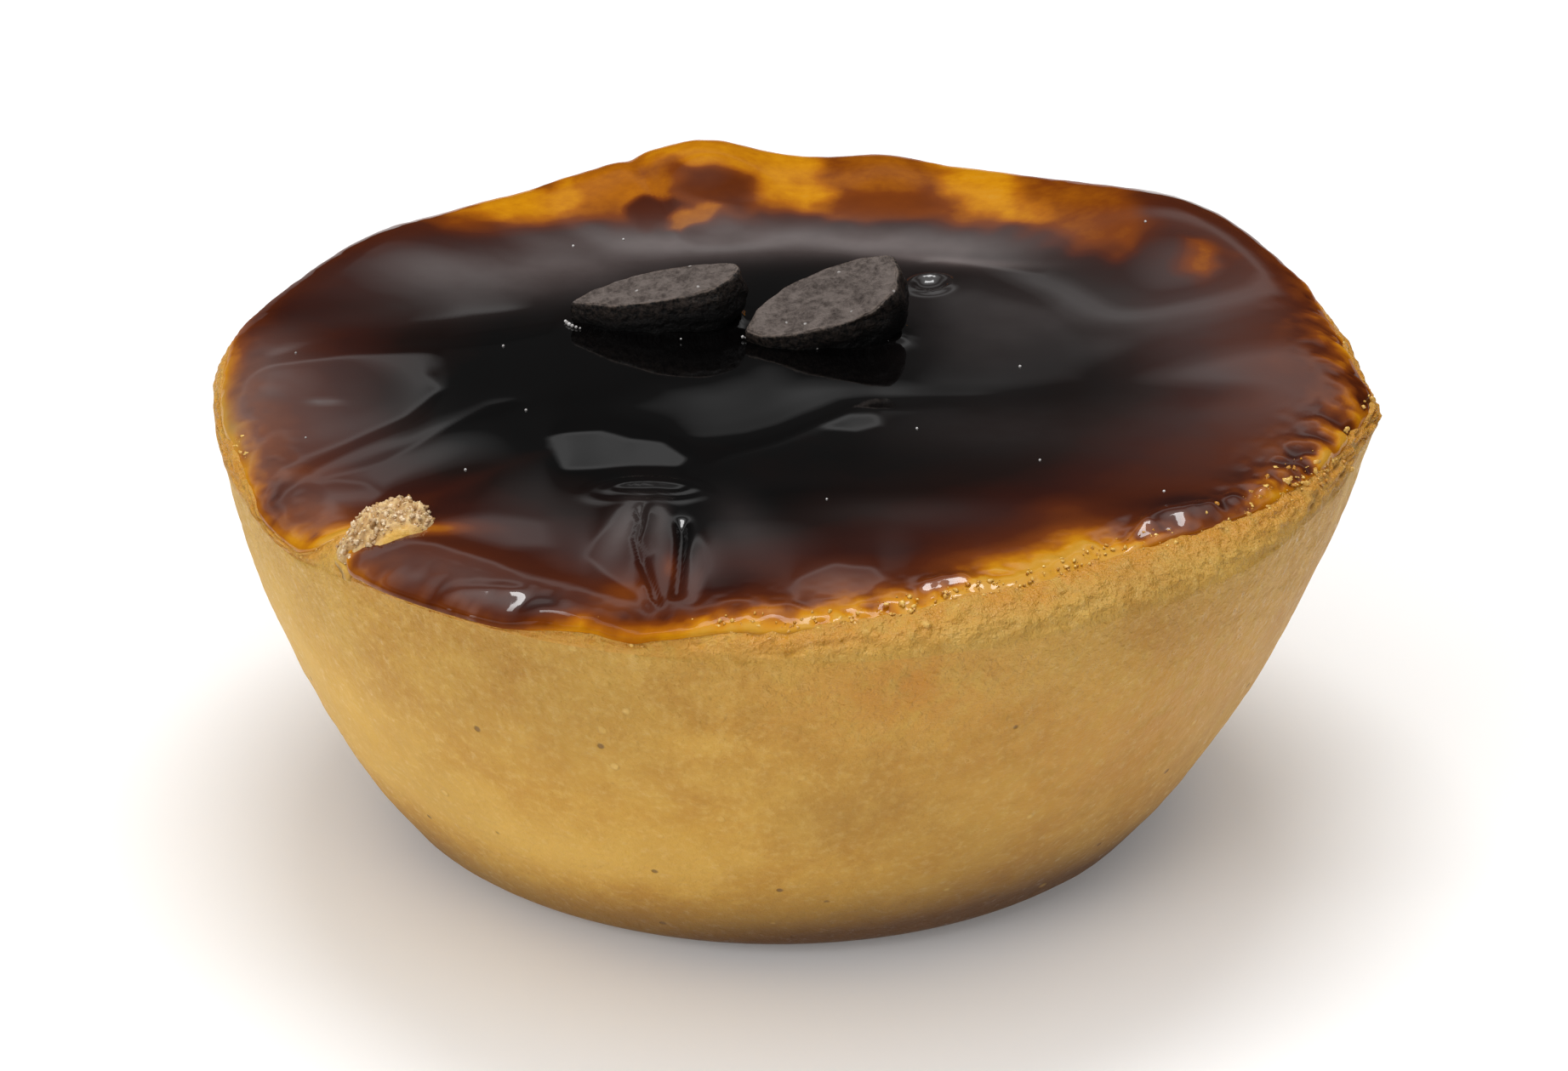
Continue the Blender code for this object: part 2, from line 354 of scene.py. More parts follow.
    def top_at(self, x: Array, y: Array) -> tuple[Array, Array, Array]:
        """Azimuth, distance s and height of the skin above places x, y."""
        azimuth = np.degrees(np.arctan2(y, x))
        radius = np.hypot(x, y)
        crest = self.crest(azimuth)
        angle = np.arcsin(np.clip((radius - crest) / self.lip_width, 0.0, 1.0))
        s = np.minimum(radius, crest) + angle / (math.pi / 2.0) * self.lip_length()
        return azimuth, s, self.skin(azimuth, s, np.zeros_like(s))[:, 2]


# Relief of the glaze


@dataclass(frozen=True)
class Facet:
    """A patch of glaze that leans towards the front by a slope, within an outline."""

    outline: Points
    slope: float
    edge: float = 0.3

    def slope_at(self, x: Array, y: Array) -> Array:
        """slope * smoothstep(depth inside the outline / edge)."""
        return self.slope * smooth(depth_inside(x, y, self.outline), -self.edge, self.edge)


@dataclass(frozen=True)
class Fold:
    """A crease: the glaze leans towards the front behind it and away ahead of it."""

    path: Points
    behind: float
    behind_width: float
    ahead: float
    ahead_width: float

    def slope_at(self, x: Array, y: Array) -> Array:
        """behind * exp(-d / wb) past the crease and -ahead * exp(-d / wa) before it, less at its ends."""
        gap, signed, share = distance_to_path(x, y, self.path)
        ends = smooth(share, 0.0, 0.12) * smooth(1.0 - share, 0.0, 0.12)
        past = self.behind * np.exp(-gap / self.behind_width) * smooth(signed, -0.1, 0.25)
        before = self.ahead * np.exp(-gap / self.ahead_width) * smooth(-signed, -0.1, 0.25)
        return (past - before) * ends


@dataclass(frozen=True)
class Cap:
    """A rounded lobe, or a hollow by a negative height: its middle, and half sizes along and across it."""

    x: float
    y: float
    reach: float
    half_width: float
    facing: float
    height: float

    def rise_at(self, x: Array, y: Array) -> Array:
        """height * sin(pi * p) * (1 - u^2).

        u is the share of the half width, and p the share of the way from the rear of the ellipse to
        its front.
        """
        turn = math.radians(self.facing)
        dx, dy = x - self.x, y - self.y
        along = (dx * math.cos(turn) + dy * math.sin(turn)) / self.reach
        across = (dy * math.cos(turn) - dx * math.sin(turn)) / self.half_width
        chord = np.sqrt(np.clip(1.0 - across**2, 1e-6, 1.0))
        share = np.clip((along + chord) / (2.0 * chord), 0.0, 1.0)
        return self.height * (np.abs(across) < 1.0) * np.sin(math.pi * share) * chord**2


@dataclass(frozen=True)
class Groove:
    """A narrow crease cut along a path, or a rounded lip raised along it by a negative depth."""

    path: Points
    half_width: float
    depth: float

    def rise_at(self, x: Array, y: Array) -> Array:
        """-depth * exp(-(d / w)^2), less at the path's ends."""
        gap, _, share = distance_to_path(x, y, self.path)
        ends = smooth(share, 0.0, 0.1) * smooth(1.0 - share, 0.0, 0.15)
        return -self.depth * bump(gap, self.half_width) * ends


@dataclass(frozen=True)
class Ring:
    """A raised oval line round a small blister."""

    x: float
    y: float
    half_length: float
    half_width: float
    line: float
    height: float
    floor: float

    def rise_at(self, x: Array, y: Array) -> Array:
        """height * exp(-((rho - 1) / line)^2) + floor * (1 - rho^2) within the oval."""
        rho = np.hypot((x - self.x) / self.half_length, (y - self.y) / self.half_width)
        return self.height * bump(rho - 1.0, self.line) + self.floor * np.clip(1.0 - rho**2, 0.0, 1.0)


LEANING: tuple[Facet | Fold, ...] = (
    # the sheet round the chocolate, and the flatter band along the front
    Facet((
        (-7.4, -10.0), (-5.1, -9.7), (-2.6, -8.8), (-0.7, -7.5), (1.1, -5.7), (3.0, -4.1), (5.3, -3.5),
        (8.9, -2.9), (13.6, -2.6), (18.0, -1.0), (20.0, 4.0), (17.0, 10.0), (12.0, 13.5), (8.6, 12.6),
        (8.4, 6.0), (7.4, -1.0), (5.5, -1.6), (0.5, -1.4), (-0.5, 0.8), (-2.0, 1.5), (-3.0, -0.6),
        (-5.0, -2.2), (-8.0, -2.8), (-9.5, -6.0),
    ), 0.085, 2.2),
    Facet((
        (-5.2, -19.5), (-1.0, -17.0), (8.0, -16.5), (18.0, -17.0), (24.0, -17.5), (20.0, -25.0),
        (12.0, -29.0), (4.0, -31.0), (-3.5, -31.5), (-4.3, -26.0),
    ), -0.055, 1.5),
    # the broad sheets on the left, the dark grooves between them and their bright lips
    Facet((
        (-33.6, -6.6), (-33.8, -4.6), (-32.4, -4.2), (-30.9, -3.1), (-28.5, -2.2), (-25.7, -0.7),
        (-22.8, 0.8), (-21.4, 1.3), (-21.5, -0.2), (-21.9, -1.7), (-21.1, -3.5), (-21.7, -4.9),
        (-22.7, -6.8), (-26.0, -10.4), (-29.7, -13.5), (-30.5, -14.7), (-31.6, -15.2), (-32.8, -12.5),
    ), 0.135),
    Facet((
        (-34.7, 0.6), (-34.0, 2.4), (-33.1, 2.1), (-32.1, 1.0), (-32.0, -1.2), (-32.8, -2.4), (-33.9, -2.4),
    ), 0.13),
    Facet((
        (-33.5, -2.8), (-33.1, -2.6), (-31.9, -2.3), (-30.2, -1.3), (-27.5, -0.3), (-22.9, 1.7), (-18.0, 3.6),
        (-15.0, 5.4), (-14.6, 7.4), (-19.6, 5.4), (-24.0, 1.9), (-27.9, -1.7), (-30.0, -2.9), (-31.8, -3.2),
        (-32.5, -3.8), (-33.2, -3.6),
    ), -0.07),
    Facet((
        (-30.5, -16.4), (-29.8, -15.9), (-29.3, -14.4), (-28.4, -13.5), (-26.0, -10.9), (-22.7, -7.2),
        (-21.5, -4.4), (-20.6, -3.7), (-21.4, -6.5), (-23.0, -8.9), (-25.5, -11.5), (-27.5, -14.2),
        (-28.8, -16.4), (-29.7, -16.7),
    ), -0.07),
    Fold((
        (-32.4, -2.3), (-30.8, -1.5), (-29.6, -0.3), (-26.2, 3.0), (-23.2, 6.0), (-20.0, 8.3), (-15.4, 10.0),
    ), 0.10, 1.1, 0.03, 1.4),
    Fold((
        (-28.6, -16.5), (-26.7, -14.9), (-24.6, -13.5), (-21.9, -11.0), (-19.5, -8.1), (-17.8, -5.8),
        (-16.5, -5.1), (-15.3, -5.7),
    ), 0.09, 0.7, 0.05, 1.4),
    # the plates in the middle
    Facet((
        (-14.1, -10.4), (-11.0, -10.0), (-9.3, -11.0), (-7.3, -11.2), (-6.0, -13.0), (-6.3, -14.1),
        (-9.0, -14.2), (-13.2, -14.6),
    ), 0.18),
    Facet(((1.9, -8.1), (3.6, -6.5), (5.3, -6.3), (5.4, -7.6), (4.0, -8.4)), 0.14),
    Fold((
        (-7.4, -10.0), (-5.1, -9.7), (-2.6, -8.8), (-0.7, -7.5), (1.1, -5.7), (3.0, -4.1), (5.3, -3.5),
        (13.6, -2.6),
    ), 0.05, 0.7, 0.0, 1.0),
    Fold((
        (-5.2, -14.5), (-3.5, -12.1), (-0.7, -10.1), (2.0, -7.4), (4.1, -5.6), (7.6, -5.3), (11.2, -4.4),
    ), -0.05, 0.9, -0.05, 1.3),
    # the twin lobes and the lap beside them
    Facet((
        (-9.2, -20.0), (-9.8, -20.6), (-10.2, -22.5), (-10.9, -24.1), (-11.2, -25.7), (-10.2, -27.4),
        (-8.5, -29.6), (-7.9, -31.6), (-7.2, -32.5), (-7.5, -29.9), (-8.2, -26.6), (-8.8, -23.8),
        (-8.5, -22.2), (-8.7, -20.5),
    ), 0.15, 0.2),
    Facet((
        (-8.1, -21.3), (-7.7, -20.3), (-7.1, -20.5), (-6.6, -22.2), (-6.4, -24.2), (-6.3, -26.6),
        (-6.3, -30.8), (-6.6, -32.4), (-7.0, -31.6), (-7.4, -28.6), (-7.9, -25.6), (-8.2, -23.4),
    ), 0.15, 0.2),
    Facet((
        (-5.8, -26.2), (-5.1, -23.8), (-4.7, -25.0), (-4.6, -27.4), (-4.8, -30.4), (-5.3, -31.4),
        (-5.9, -30.8),
    ), 0.16, 0.2),
    Facet(((-8.2, -29.0), (-7.8, -29.2), (-7.3, -31.0), (-7.1, -32.1), (-7.8, -31.2)), 0.32, 0.12),
    Facet((
        (-8.6, -22.0), (-8.4, -22.1), (-8.6, -24.0), (-8.3, -26.0), (-8.5, -26.1), (-8.9, -24.0),
    ), 0.32, 0.1),
    Facet((
        (-7.9, -21.4), (-7.7, -21.5), (-7.8, -23.4), (-7.6, -25.4), (-7.8, -25.4), (-8.1, -23.4),
    ), 0.32, 0.1),
    # the lobes along the front
    Facet((
        (0.2, -30.2), (0.5, -29.1), (2.6, -27.4), (3.6, -27.7), (4.8, -27.7), (5.3, -28.9), (4.0, -30.7),
        (2.2, -32.0), (0.6, -31.8),
    ), 0.15, 0.2),
    Facet(((6.7, -28.9), (8.1, -28.5), (10.3, -28.4), (9.8, -30.0), (8.5, -31.2), (7.1, -30.8)), 0.15, 0.2),
    Facet((
        (19.2, -24.2), (20.3, -22.0), (21.3, -20.9), (23.8, -20.5), (25.1, -19.6), (25.5, -21.1),
        (23.6, -23.1), (21.5, -24.8), (20.1, -24.8),
    ), 0.14, 0.25),
    Facet(((16.4, -25.2), (18.1, -21.9), (19.8, -20.8), (19.2, -23.1), (17.2, -25.3)), 0.12, 0.2),
    # the pool that runs over the lip, and the lobe left of the ridge
    Facet((
        (-24.3, -25.2), (-23.3, -25.0), (-21.4, -24.6), (-19.8, -24.8), (-18.2, -25.8), (-16.3, -26.9),
        (-15.5, -27.9), (-14.3, -29.1), (-12.9, -29.9), (-13.0, -30.6), (-15.0, -30.9), (-17.3, -29.9),
        (-18.8, -29.3), (-20.4, -28.2), (-22.0, -26.9), (-23.7, -25.9),
    ), 0.13, 0.2),
    Facet(((-24.2, -25.1), (-23.7, -25.0), (-23.6, -25.5), (-24.1, -25.7)), 0.34, 0.15),
    Facet((
        (-30.4, -16.4), (-28.7, -16.2), (-26.4, -15.3), (-24.6, -15.6), (-23.6, -16.7), (-24.0, -18.6),
        (-24.7, -21.2), (-25.6, -22.5), (-26.9, -21.8), (-28.4, -20.4), (-29.5, -18.5),
    ), 0.13, 0.2),
    # the dull sheen beside the ridge, and the thin film beside the crater
    Facet((
        (-20.0, -21.5), (-17.0, -21.0), (-14.0, -22.0), (-13.5, -24.5), (-16.0, -25.0), (-19.0, -23.5),
    ), 0.06, 0.8),
    Fold(((7.9, 17.0), (9.6, 17.6), (11.8, 16.8), (14.3, 15.6), (16.5, 14.4)), 0.10, 0.5, 0.06, 0.6),
)

RAISED: tuple[Cap | Groove | Ring, ...] = (
    # the crater with its inner ring, and the blister beside the right chunk
    Ring(-8.2, -17.9, 3.3, 1.75, 0.17, 0.07, -0.05),
    Ring(-8.0, -17.6, 2.3, 0.80, 0.25, 0.11, -0.10),
    Ring(8.9, 13.8, 1.25, 1.35, 0.22, 0.22, -0.35),
    # the creases beside the twin lobes
    Groove((
        (-8.6, -20.0), (-8.4, -21.8), (-8.6, -23.6), (-8.1, -26.4), (-7.5, -29.5), (-7.0, -32.0),
    ), 0.2, 0.45),
    Groove(((-6.1, -21.5), (-6.0, -24.0), (-6.05, -27.0), (-6.2, -31.0)), 0.3, 0.45),
    # bright rounded lips at the rear of lobes along the front
    Groove(((20.1, -23.0), (20.7, -21.9), (21.8, -21.2), (23.3, -20.8), (25.1, -20.2)), 0.65, -0.28),
    Groove(((7.3, -30.0), (8.5, -29.2), (10.4, -28.7)), 0.5, -0.20),
    Groove(((-19.4, -28.9), (-17.6, -29.15), (-15.9, -29.5), (-14.2, -30.1)), 0.6, -0.19),
    # the hollow at the back, the end of the pool, and two beads at the front right
    Cap(-4.4, 27.2, 2.6, 3.3, -95.0, -0.22),
    Cap(-13.6, -31.6, 1.1, 1.3, -115.0, 0.25),
    Cap(25.6, -19.0, 0.7, 0.7, -45.0, 0.3),
    Cap(27.4, -17.6, 0.6, 0.7, -45.0, 0.3),
)

# Thicker (+) and thinner (-) places of the glaze: x, y, half sizes along X and Y, change of depth
DEPTH_SPOTS: Patches = (
    # darker: the left rear, the front of the middle, the pool and the gap beside the lobes
    (-27.0, 13.0, 7.0, 8.0, 0.10), (-31.0, 5.5, 2.6, 4.0, 0.10), (-17.0, -6.0, 7.0, 8.0, 0.22),
    (-4.0, -21.0, 4.0, 3.0, 0.24), (-5.6, -24.0, 0.6, 3.0, 0.30), (-3.5, -29.5, 1.8, 2.0, 0.16),
    (-19.5, -26.6, 5.0, 2.0, -0.06), (-13.6, -30.8, 1.6, 0.8, 0.22), (6.0, -25.2, 4.0, 1.4, 0.06),
    (23.0, -19.6, 3.0, 1.2, 0.16), (26.5, -16.4, 2.0, 1.6, 0.12), (31.8, 0.0, 1.5, 8.0, 0.06),
    # paler: amber seams at the front and on the left
    (-30.5, -9.0, 3.5, 4.0, -0.08), (27.0, -4.0, 7.0, 13.0, -0.11), (33.0, -4.0, 1.8, 8.0, -0.10),
    (18.0, -12.0, 4.0, 7.0, -0.08), (-20.3, -22.6, 2.2, 1.0, -0.26), (-28.0, -14.5, 3.0, 1.4, -0.10),
    (-27.0, -19.6, 2.6, 2.6, -0.14), (-18.5, -22.6, 3.0, 1.0, -0.10), (-25.0, -22.2, 1.6, 1.6, -0.25),
    (-27.2, -20.9, 0.5, 0.5, 0.22), (-9.0, -29.6, 1.5, 1.8, -0.20), (-6.6, -27.0, 0.5, 1.6, -0.22),
    (-5.2, -29.0, 0.5, 2.0, -0.10), (2.6, -29.6, 2.4, 2.2, -0.12), (7.0, -31.0, 3.0, 1.2, -0.12),
    (12.5, -27.0, 3.4, 2.2, -0.26), (16.4, -23.8, 2.6, 2.4, -0.26), (15.6, -19.6, 2.0, 1.6, -0.12),
)

# Patches of the glaze with a depth of their own: depth, softness of the edge, outline
DEPTH_PATCHES: tuple[tuple[float, float, Points], ...] = (
    # the orange-brown band
    (0.33, 1.6, (
        (-22.6, 23.6), (-21.0, 31.6), (-16.5, 33.7), (-14.0, 35.7), (-10.5, 36.8), (-6.1, 37.0), (-1.1, 37.2),
        (4.0, 36.0), (9.7, 34.5), (16.5, 34.3), (21.0, 31.3), (22.9, 18.2), (22.4, 14.5), (20.0, 15.2),
        (16.8, 18.8), (12.8, 21.4), (7.3, 23.0), (3.2, 23.7), (-1.0, 23.6), (-5.2, 22.0), (-10.0, 22.3),
        (-14.2, 23.0), (-18.3, 21.9), (-22.4, 20.7),
    )),
    # gold on the left
    (0.13, 1.3, (
        (-21.9, 24.1), (-21.0, 31.3), (-18.9, 32.0), (-16.2, 27.8), (-13.9, 33.5), (-13.1, 25.5),
        (-14.9, 24.0), (-18.4, 22.8),
    )),
    # the arc over the hollow
    (0.17, 0.7, (
        (-11.5, 35.9), (-9.4, 37.0), (-6.1, 37.0), (-3.3, 37.4), (-1.1, 36.7), (0.4, 29.3), (-0.7, 27.1),
        (-2.3, 28.2), (-4.9, 28.5), (-7.9, 29.0), (-10.7, 33.8),
    )),
    # the pinkish lump
    (0.235, 0.9, (
        (-14.1, 27.8), (-12.9, 34.0), (-10.4, 33.6), (-8.1, 27.9), (-7.1, 25.8), (-8.7, 25.5), (-10.8, 24.6),
        (-12.9, 25.1),
    )),
    # the hollow
    (0.44, 0.9, (
        (-7.0, 28.2), (-5.3, 28.2), (-3.0, 27.6), (-1.9, 26.2), (-2.6, 24.0), (-4.5, 24.1), (-6.6, 24.7),
        (-7.2, 26.3),
    )),
    # the pit
    (0.56, 0.5, (
        (-11.1, 24.6), (-9.4, 25.2), (-7.3, 25.4), (-6.9, 24.2), (-8.3, 22.9), (-9.0, 21.7), (-10.7, 22.0),
    )),
    # the orange nub
    (0.23, 0.5, (
        (-8.3, 23.3), (-7.3, 24.2), (-5.5, 24.4), (-4.3, 23.9), (-5.2, 22.5), (-6.9, 21.5), (-8.1, 21.7),
    )),
    # gold
    (0.12, 1.7, (
        (-1.8, 36.3), (0.4, 36.2), (2.1, 29.0), (3.5, 26.3), (3.2, 24.4), (0.7, 24.5), (-0.8, 25.7),
        (-1.6, 28.0),
    )),
    # orange
    (0.27, 2.0, (
        (4.0, 34.9), (6.9, 35.2), (8.6, 34.0), (8.8, 27.6), (8.3, 25.1), (6.6, 24.2), (3.2, 24.0),
        (2.9, 26.9),
    )),
    # its brown foot
    (0.385, 1.4, (
        (2.6, 24.2), (3.4, 27.2), (5.6, 26.4), (8.6, 27.6), (9.2, 24.6), (6.6, 23.4),
    )),
    # bright gold
    (0.1, 1.8, (
        (9.7, 34.2), (12.2, 34.4), (14.7, 33.3), (15.4, 24.9), (14.6, 21.9), (12.8, 22.1), (10.8, 24.6),
        (9.8, 26.8),
    )),
    # nub
    (0.18, 0.6, (
        (14.6, 23.6), (16.4, 24.1), (17.3, 22.4), (16.6, 20.6), (14.9, 21.1),
    )),
    # orange
    (0.31, 2.0, (
        (17.1, 31.5), (19.2, 30.0), (20.8, 19.4), (20.7, 15.9), (19.1, 16.3), (17.2, 19.3), (16.0, 24.2),
    )),
    # dim orange
    (0.31, 1.0, (
        (24.8, 15.6), (26.7, 14.8), (27.8, 12.8), (26.8, 11.0), (25.2, 11.9), (24.5, 13.7),
    )),
)

# Painted sheen on the glaze, a grey film in its colour that stands in for reflected light: x, y, half length,
# half width, the way its length points, strength
PAINTED_SHEEN: tuple[tuple[float, float, float, float, float, float], ...] = (
    (-16.0, 16.0, 10.0, 4.0, 22.0, 0.62), (-3.0, 20.8, 9.0, 2.4, 4.0, 0.76),
    (9.0, 19.6, 7.0, 2.2, -14.0, 0.74), (-4.0, 35.5, 3.5, 1.6, 4.0, 0.45),
    (11.0, 17.3, 4.4, 0.5, -18.0, 0.6), (16.0, 9.5, 10.0, 4.5, -25.0, 0.20),
    (26.0, 5.0, 5.0, 8.0, 0.0, 0.22), (24.0, -9.0, 6.0, 7.0, 0.0, 0.18), (12.0, 4.0, 4.0, 5.0, 0.0, 0.12),
    (12.0, -8.0, 6.0, 4.0, 0.0, 0.12), (-29.0, -7.0, 4.5, 6.5, 30.0, 0.30),
    (-32.8, -7.0, 7.5, 2.0, 78.0, 0.55), (-30.8, -13.5, 3.5, 1.8, -60.0, 0.30),
    (-24.5, 7.2, 8.5, 2.0, 36.0, 0.10), (-16.5, -23.0, 3.5, 1.4, -12.0, 0.04),
    (-2.4, -22.5, 1.6, 4.0, 12.0, 0.18), (7.5, -20.5, 5.0, 2.2, 0.0, 0.14),
    (-9.6, -23.4, 3.4, 0.9, 76.0, 0.55), (-7.3, -22.8, 3.0, 0.5, 88.0, 0.34),
    (-5.2, -27.5, 2.6, 0.4, 88.0, 0.30), (-27.2, -18.0, 2.4, 1.8, 10.0, 0.26),
    (-20.0, -26.6, 5.5, 1.1, -28.0, 0.24), (2.8, -29.2, 2.2, 1.8, 0.0, 0.18),
    (-27.7, -6.3, 0.9, 0.3, 10.0, 0.9),
)


def bloom_at(x: Array, y: Array) -> Array:
    """The strength of the painted sheen: the sum of strength * exp(-(u / length)^2 - (v / width)^2)."""
    total = np.zeros(np.shape(x))
    for middle_x, middle_y, length, width, way, strength in PAINTED_SHEEN:
        c, s = math.cos(math.radians(way)), math.sin(math.radians(way))
        u = ((x - middle_x) * c + (y - middle_y) * s) / length
        v = ((y - middle_y) * c - (x - middle_x) * s) / width
        total = total + strength * np.exp(-(u**2) - v**2)
    return np.clip(total, 0.0, 1.0)


class Relief:
    """The waves of the glaze above its plain skin, kept as heights on a square raster.

    What leans is given by its slope q(x, y) towards the front. The height h is the one for which
    (dh/dy - q)^2 + side * (dh/dx)^2 + (h / leash)^2 adds up to the least.
    """

    def __init__(
        self, half: float = 40.0, step: float = 0.125, side: float = 0.03, leash: float = 9.0
    ) -> None:
        """Works out the raster.

        Args:
            half: half the side of the raster.
            step: distance between its points.
            side: weight of the slope along X.
            leash: the distance over which a wave falls back to the plain skin.
        """
        self.half = half
        self.step = step
        places = np.arange(-half, half, step)
        y, x = np.meshgrid(places, places, indexing="ij")
        slope = sum(lean.slope_at(x, y) for lean in LEANING)
        slope = slope + 0.010 * mottling(x, y - 0.35 * x, (9.0, 3.2), 21, 40.0)
        wy = (np.fft.fftfreq(len(places), step) * 2.0 * math.pi)[:, None]
        wx = (np.fft.rfftfreq(len(places), step) * 2.0 * math.pi)[None, :]
        waves = -1j * wy * np.fft.rfft2(slope) / (wy**2 + side * wx**2 + leash**-2)
        raised = sum(shape.rise_at(x, y) for shape in RAISED)
        soften = np.exp(-0.5 * 0.1**2 * (wx**2 + wy**2))
        self.heights = np.fft.irfft2((waves + np.fft.rfft2(raised)) * soften, x.shape)

    def at(self, x: Array, y: Array) -> Array:
        """The height at places x, y, blended between the four nearest points of the raster."""
        u = np.clip((x + self.half) / self.step, 0.0, self.heights.shape[1] - 1.001)
        v = np.clip((y + self.half) / self.step, 0.0, self.heights.shape[0] - 1.001)
        iu, iv = u.astype(int), v.astype(int)
        fu, fv = u - iu, v - iv
        low = self.heights[iv, iu] * (1.0 - fu) + self.heights[iv, iu + 1] * fu
        high = self.heights[iv + 1, iu] * (1.0 - fu) + self.heights[iv + 1, iu + 1] * fu
        return low * (1.0 - fv) + high * fv


# Shader building

MIX_FACTOR, MIX_FIRST, MIX_SECOND, MIX_RESULT = 0, 6, 7, 2  # a Mix node's sockets for colours


class Value:
    """A number socket that adds Math nodes when it is used in an expression."""

    def __init__(self, graph: "Graph", socket: bpy.types.NodeSocket) -> None:
        """Wraps a socket of a graph."""
        self.graph = graph
        self.socket = socket

    def math(self, operation: str, *others: "Value | float") -> "Value":
        """Adds a Math node of that operation on this value and the others."""
        inputs = dict(enumerate((self, *others)))
        return self.graph.value("ShaderNodeMath", {"operation": operation}, inputs)

    def __add__(self, other: "Value | float") -> "Value":
        """self + other."""
        return self.math("ADD", other)

    def __radd__(self, other: float) -> "Value":
        """other + self."""
        return self.math("ADD", other)

    def __sub__(self, other: "Value | float") -> "Value":
        """self - other."""
        return self.math("SUBTRACT", other)

    def __rsub__(self, other: float) -> "Value":
        """other - self."""
        return (self * -1.0) + other

    def __mul__(self, other: "Value | float") -> "Value":
        """self * other."""
        return self.math("MULTIPLY", other)

    def __rmul__(self, other: float) -> "Value":
        """other * self."""
        return self.math("MULTIPLY", other)

    def over(self, low: float, high: float) -> "Value":
        """Rises smoothly from 0 at low to 1 at high."""
        inputs = {"Value": self, "From Min": low, "From Max": high}
        return self.graph.value("ShaderNodeMapRange", {"interpolation_type": "SMOOTHSTEP"}, inputs, "Result")


class Graph:
    """The nodes of a material or a world."""

    def __init__(self, owner: bpy.types.Material | bpy.types.World) -> None:
        """Starts on the owner's own nodes."""
        owner.use_nodes = True
        self.tree = owner.node_tree

    def node(self, kind: str, settings: dict[str, Any] | None = None, inputs: dict | None = None) -> Any:
        """Adds a node.

        Args:
            kind: the node's type.
            settings: its properties, set first; stops is a list of (position, colour) of a ramp.
            inputs: values, sockets or Values by the name or number of the input.

        Returns:
            The node.
        """
        node = self.tree.nodes.new(kind)
        for key, setting in (settings or {}).items():
            if key == "stops":
                self.set_stops(node.color_ramp, setting)
            else:
                setattr(node, key, setting)
        for key, source in (inputs or {}).items():
            self.feed(node.inputs[key], source)
        return node

    @staticmethod
    def set_stops(ramp: bpy.types.ColorRamp, stops: list[tuple[float, Colour]]) -> None:
        """Gives a colour ramp its stops."""
        while len(ramp.elements) < len(stops):
            ramp.elements.new(1.0)
        for element, (position, colour) in zip(ramp.elements, stops):
            element.position = position
            element.color = (*colour, 1.0)

    def feed(self, socket: bpy.types.NodeSocket, source: Any) -> None:
        """Links a socket or a Value to an input, or sets the input's own number or colour."""
        if isinstance(source, Value):
            source = source.socket
        if isinstance(source, bpy.types.NodeSocket):
            self.tree.links.new(source, socket)
        elif isinstance(source, tuple) and len(source) == 3 and socket.type == "RGBA":
            socket.default_value = (*source, 1.0)
        else:
            socket.default_value = source

    def value(self, kind: str, settings: dict | None, inputs: dict, output: str | int = 0) -> Value:
        """Adds a node and wraps one of its outputs."""
        return Value(self, self.node(kind, settings, inputs).outputs[output])

    def mix(self, factor: Value | float, first: Any, second: Any) -> bpy.types.NodeSocket:
        """Blends two colours."""
        inputs = {MIX_FACTOR: factor, MIX_FIRST: first, MIX_SECOND: second}
        return self.node("ShaderNodeMix", {"data_type": "RGBA"}, inputs).outputs[MIX_RESULT]

    def ramp(self, factor: Value, stops: list[tuple[float, Colour]]) -> bpy.types.NodeSocket:
        """A colour ramp."""
        return self.node("ShaderNodeValToRGB", {"stops": stops}, {"Fac": factor}).outputs["Color"]


class MaterialGraph(Graph):
    """The nodes of a new material, round its Principled BSDF."""

    def __init__(self, name: str) -> None:
        """Makes the material."""
        self.material = bpy.data.materials.new(name)
        super().__init__(self.material)
        self.shader = self.tree.nodes["Principled BSDF"]
        self.place = self.node("ShaderNodeTexCoord").outputs["Object"]

    def noise(self, scale: float, detail: float = 3.0, roughness: float = 0.5) -> Value:
        """Noise on Object coordinates.

        Args:
            scale: size of the blotches in millimetres.
            detail: octaves.
            roughness: strength of the finer octaves.

        Returns:
            The noise, mostly between 0.3 and 0.7.
        """
        inputs = {"Vector": self.place, "Scale": 1.0 / (scale * MM), "Detail": detail, "Roughness": roughness}
        return self.value("ShaderNodeTexNoise", None, inputs, "Fac")

    def dots(self, size: float) -> Value:
        """Distance to scattered points, in cells of that many millimetres."""
        inputs = {"Vector": self.place, "Scale": 1.0 / (size * MM)}
        return self.value("ShaderNodeTexVoronoi", None, inputs, "Distance")

    def attribute(self, name: str) -> Value:
        """The piece's own attribute."""
        return self.value("ShaderNodeAttribute", {"attribute_name": name}, {}, "Fac")

    def bump(self, height: Value, depth: float) -> None:
        """Feeds a bump of that depth in millimetres to the shader's Normal."""
        inputs = {"Height": height, "Distance": depth * MM}
        self.set(Normal=self.node("ShaderNodeBump", None, inputs).outputs["Normal"])

    def set(self, **inputs: Any) -> None:
        """Sets the shader's own inputs, with _ in a name for a space."""
        for key, source in inputs.items():
            self.feed(self.shader.inputs[key.replace("_", " ")], source)


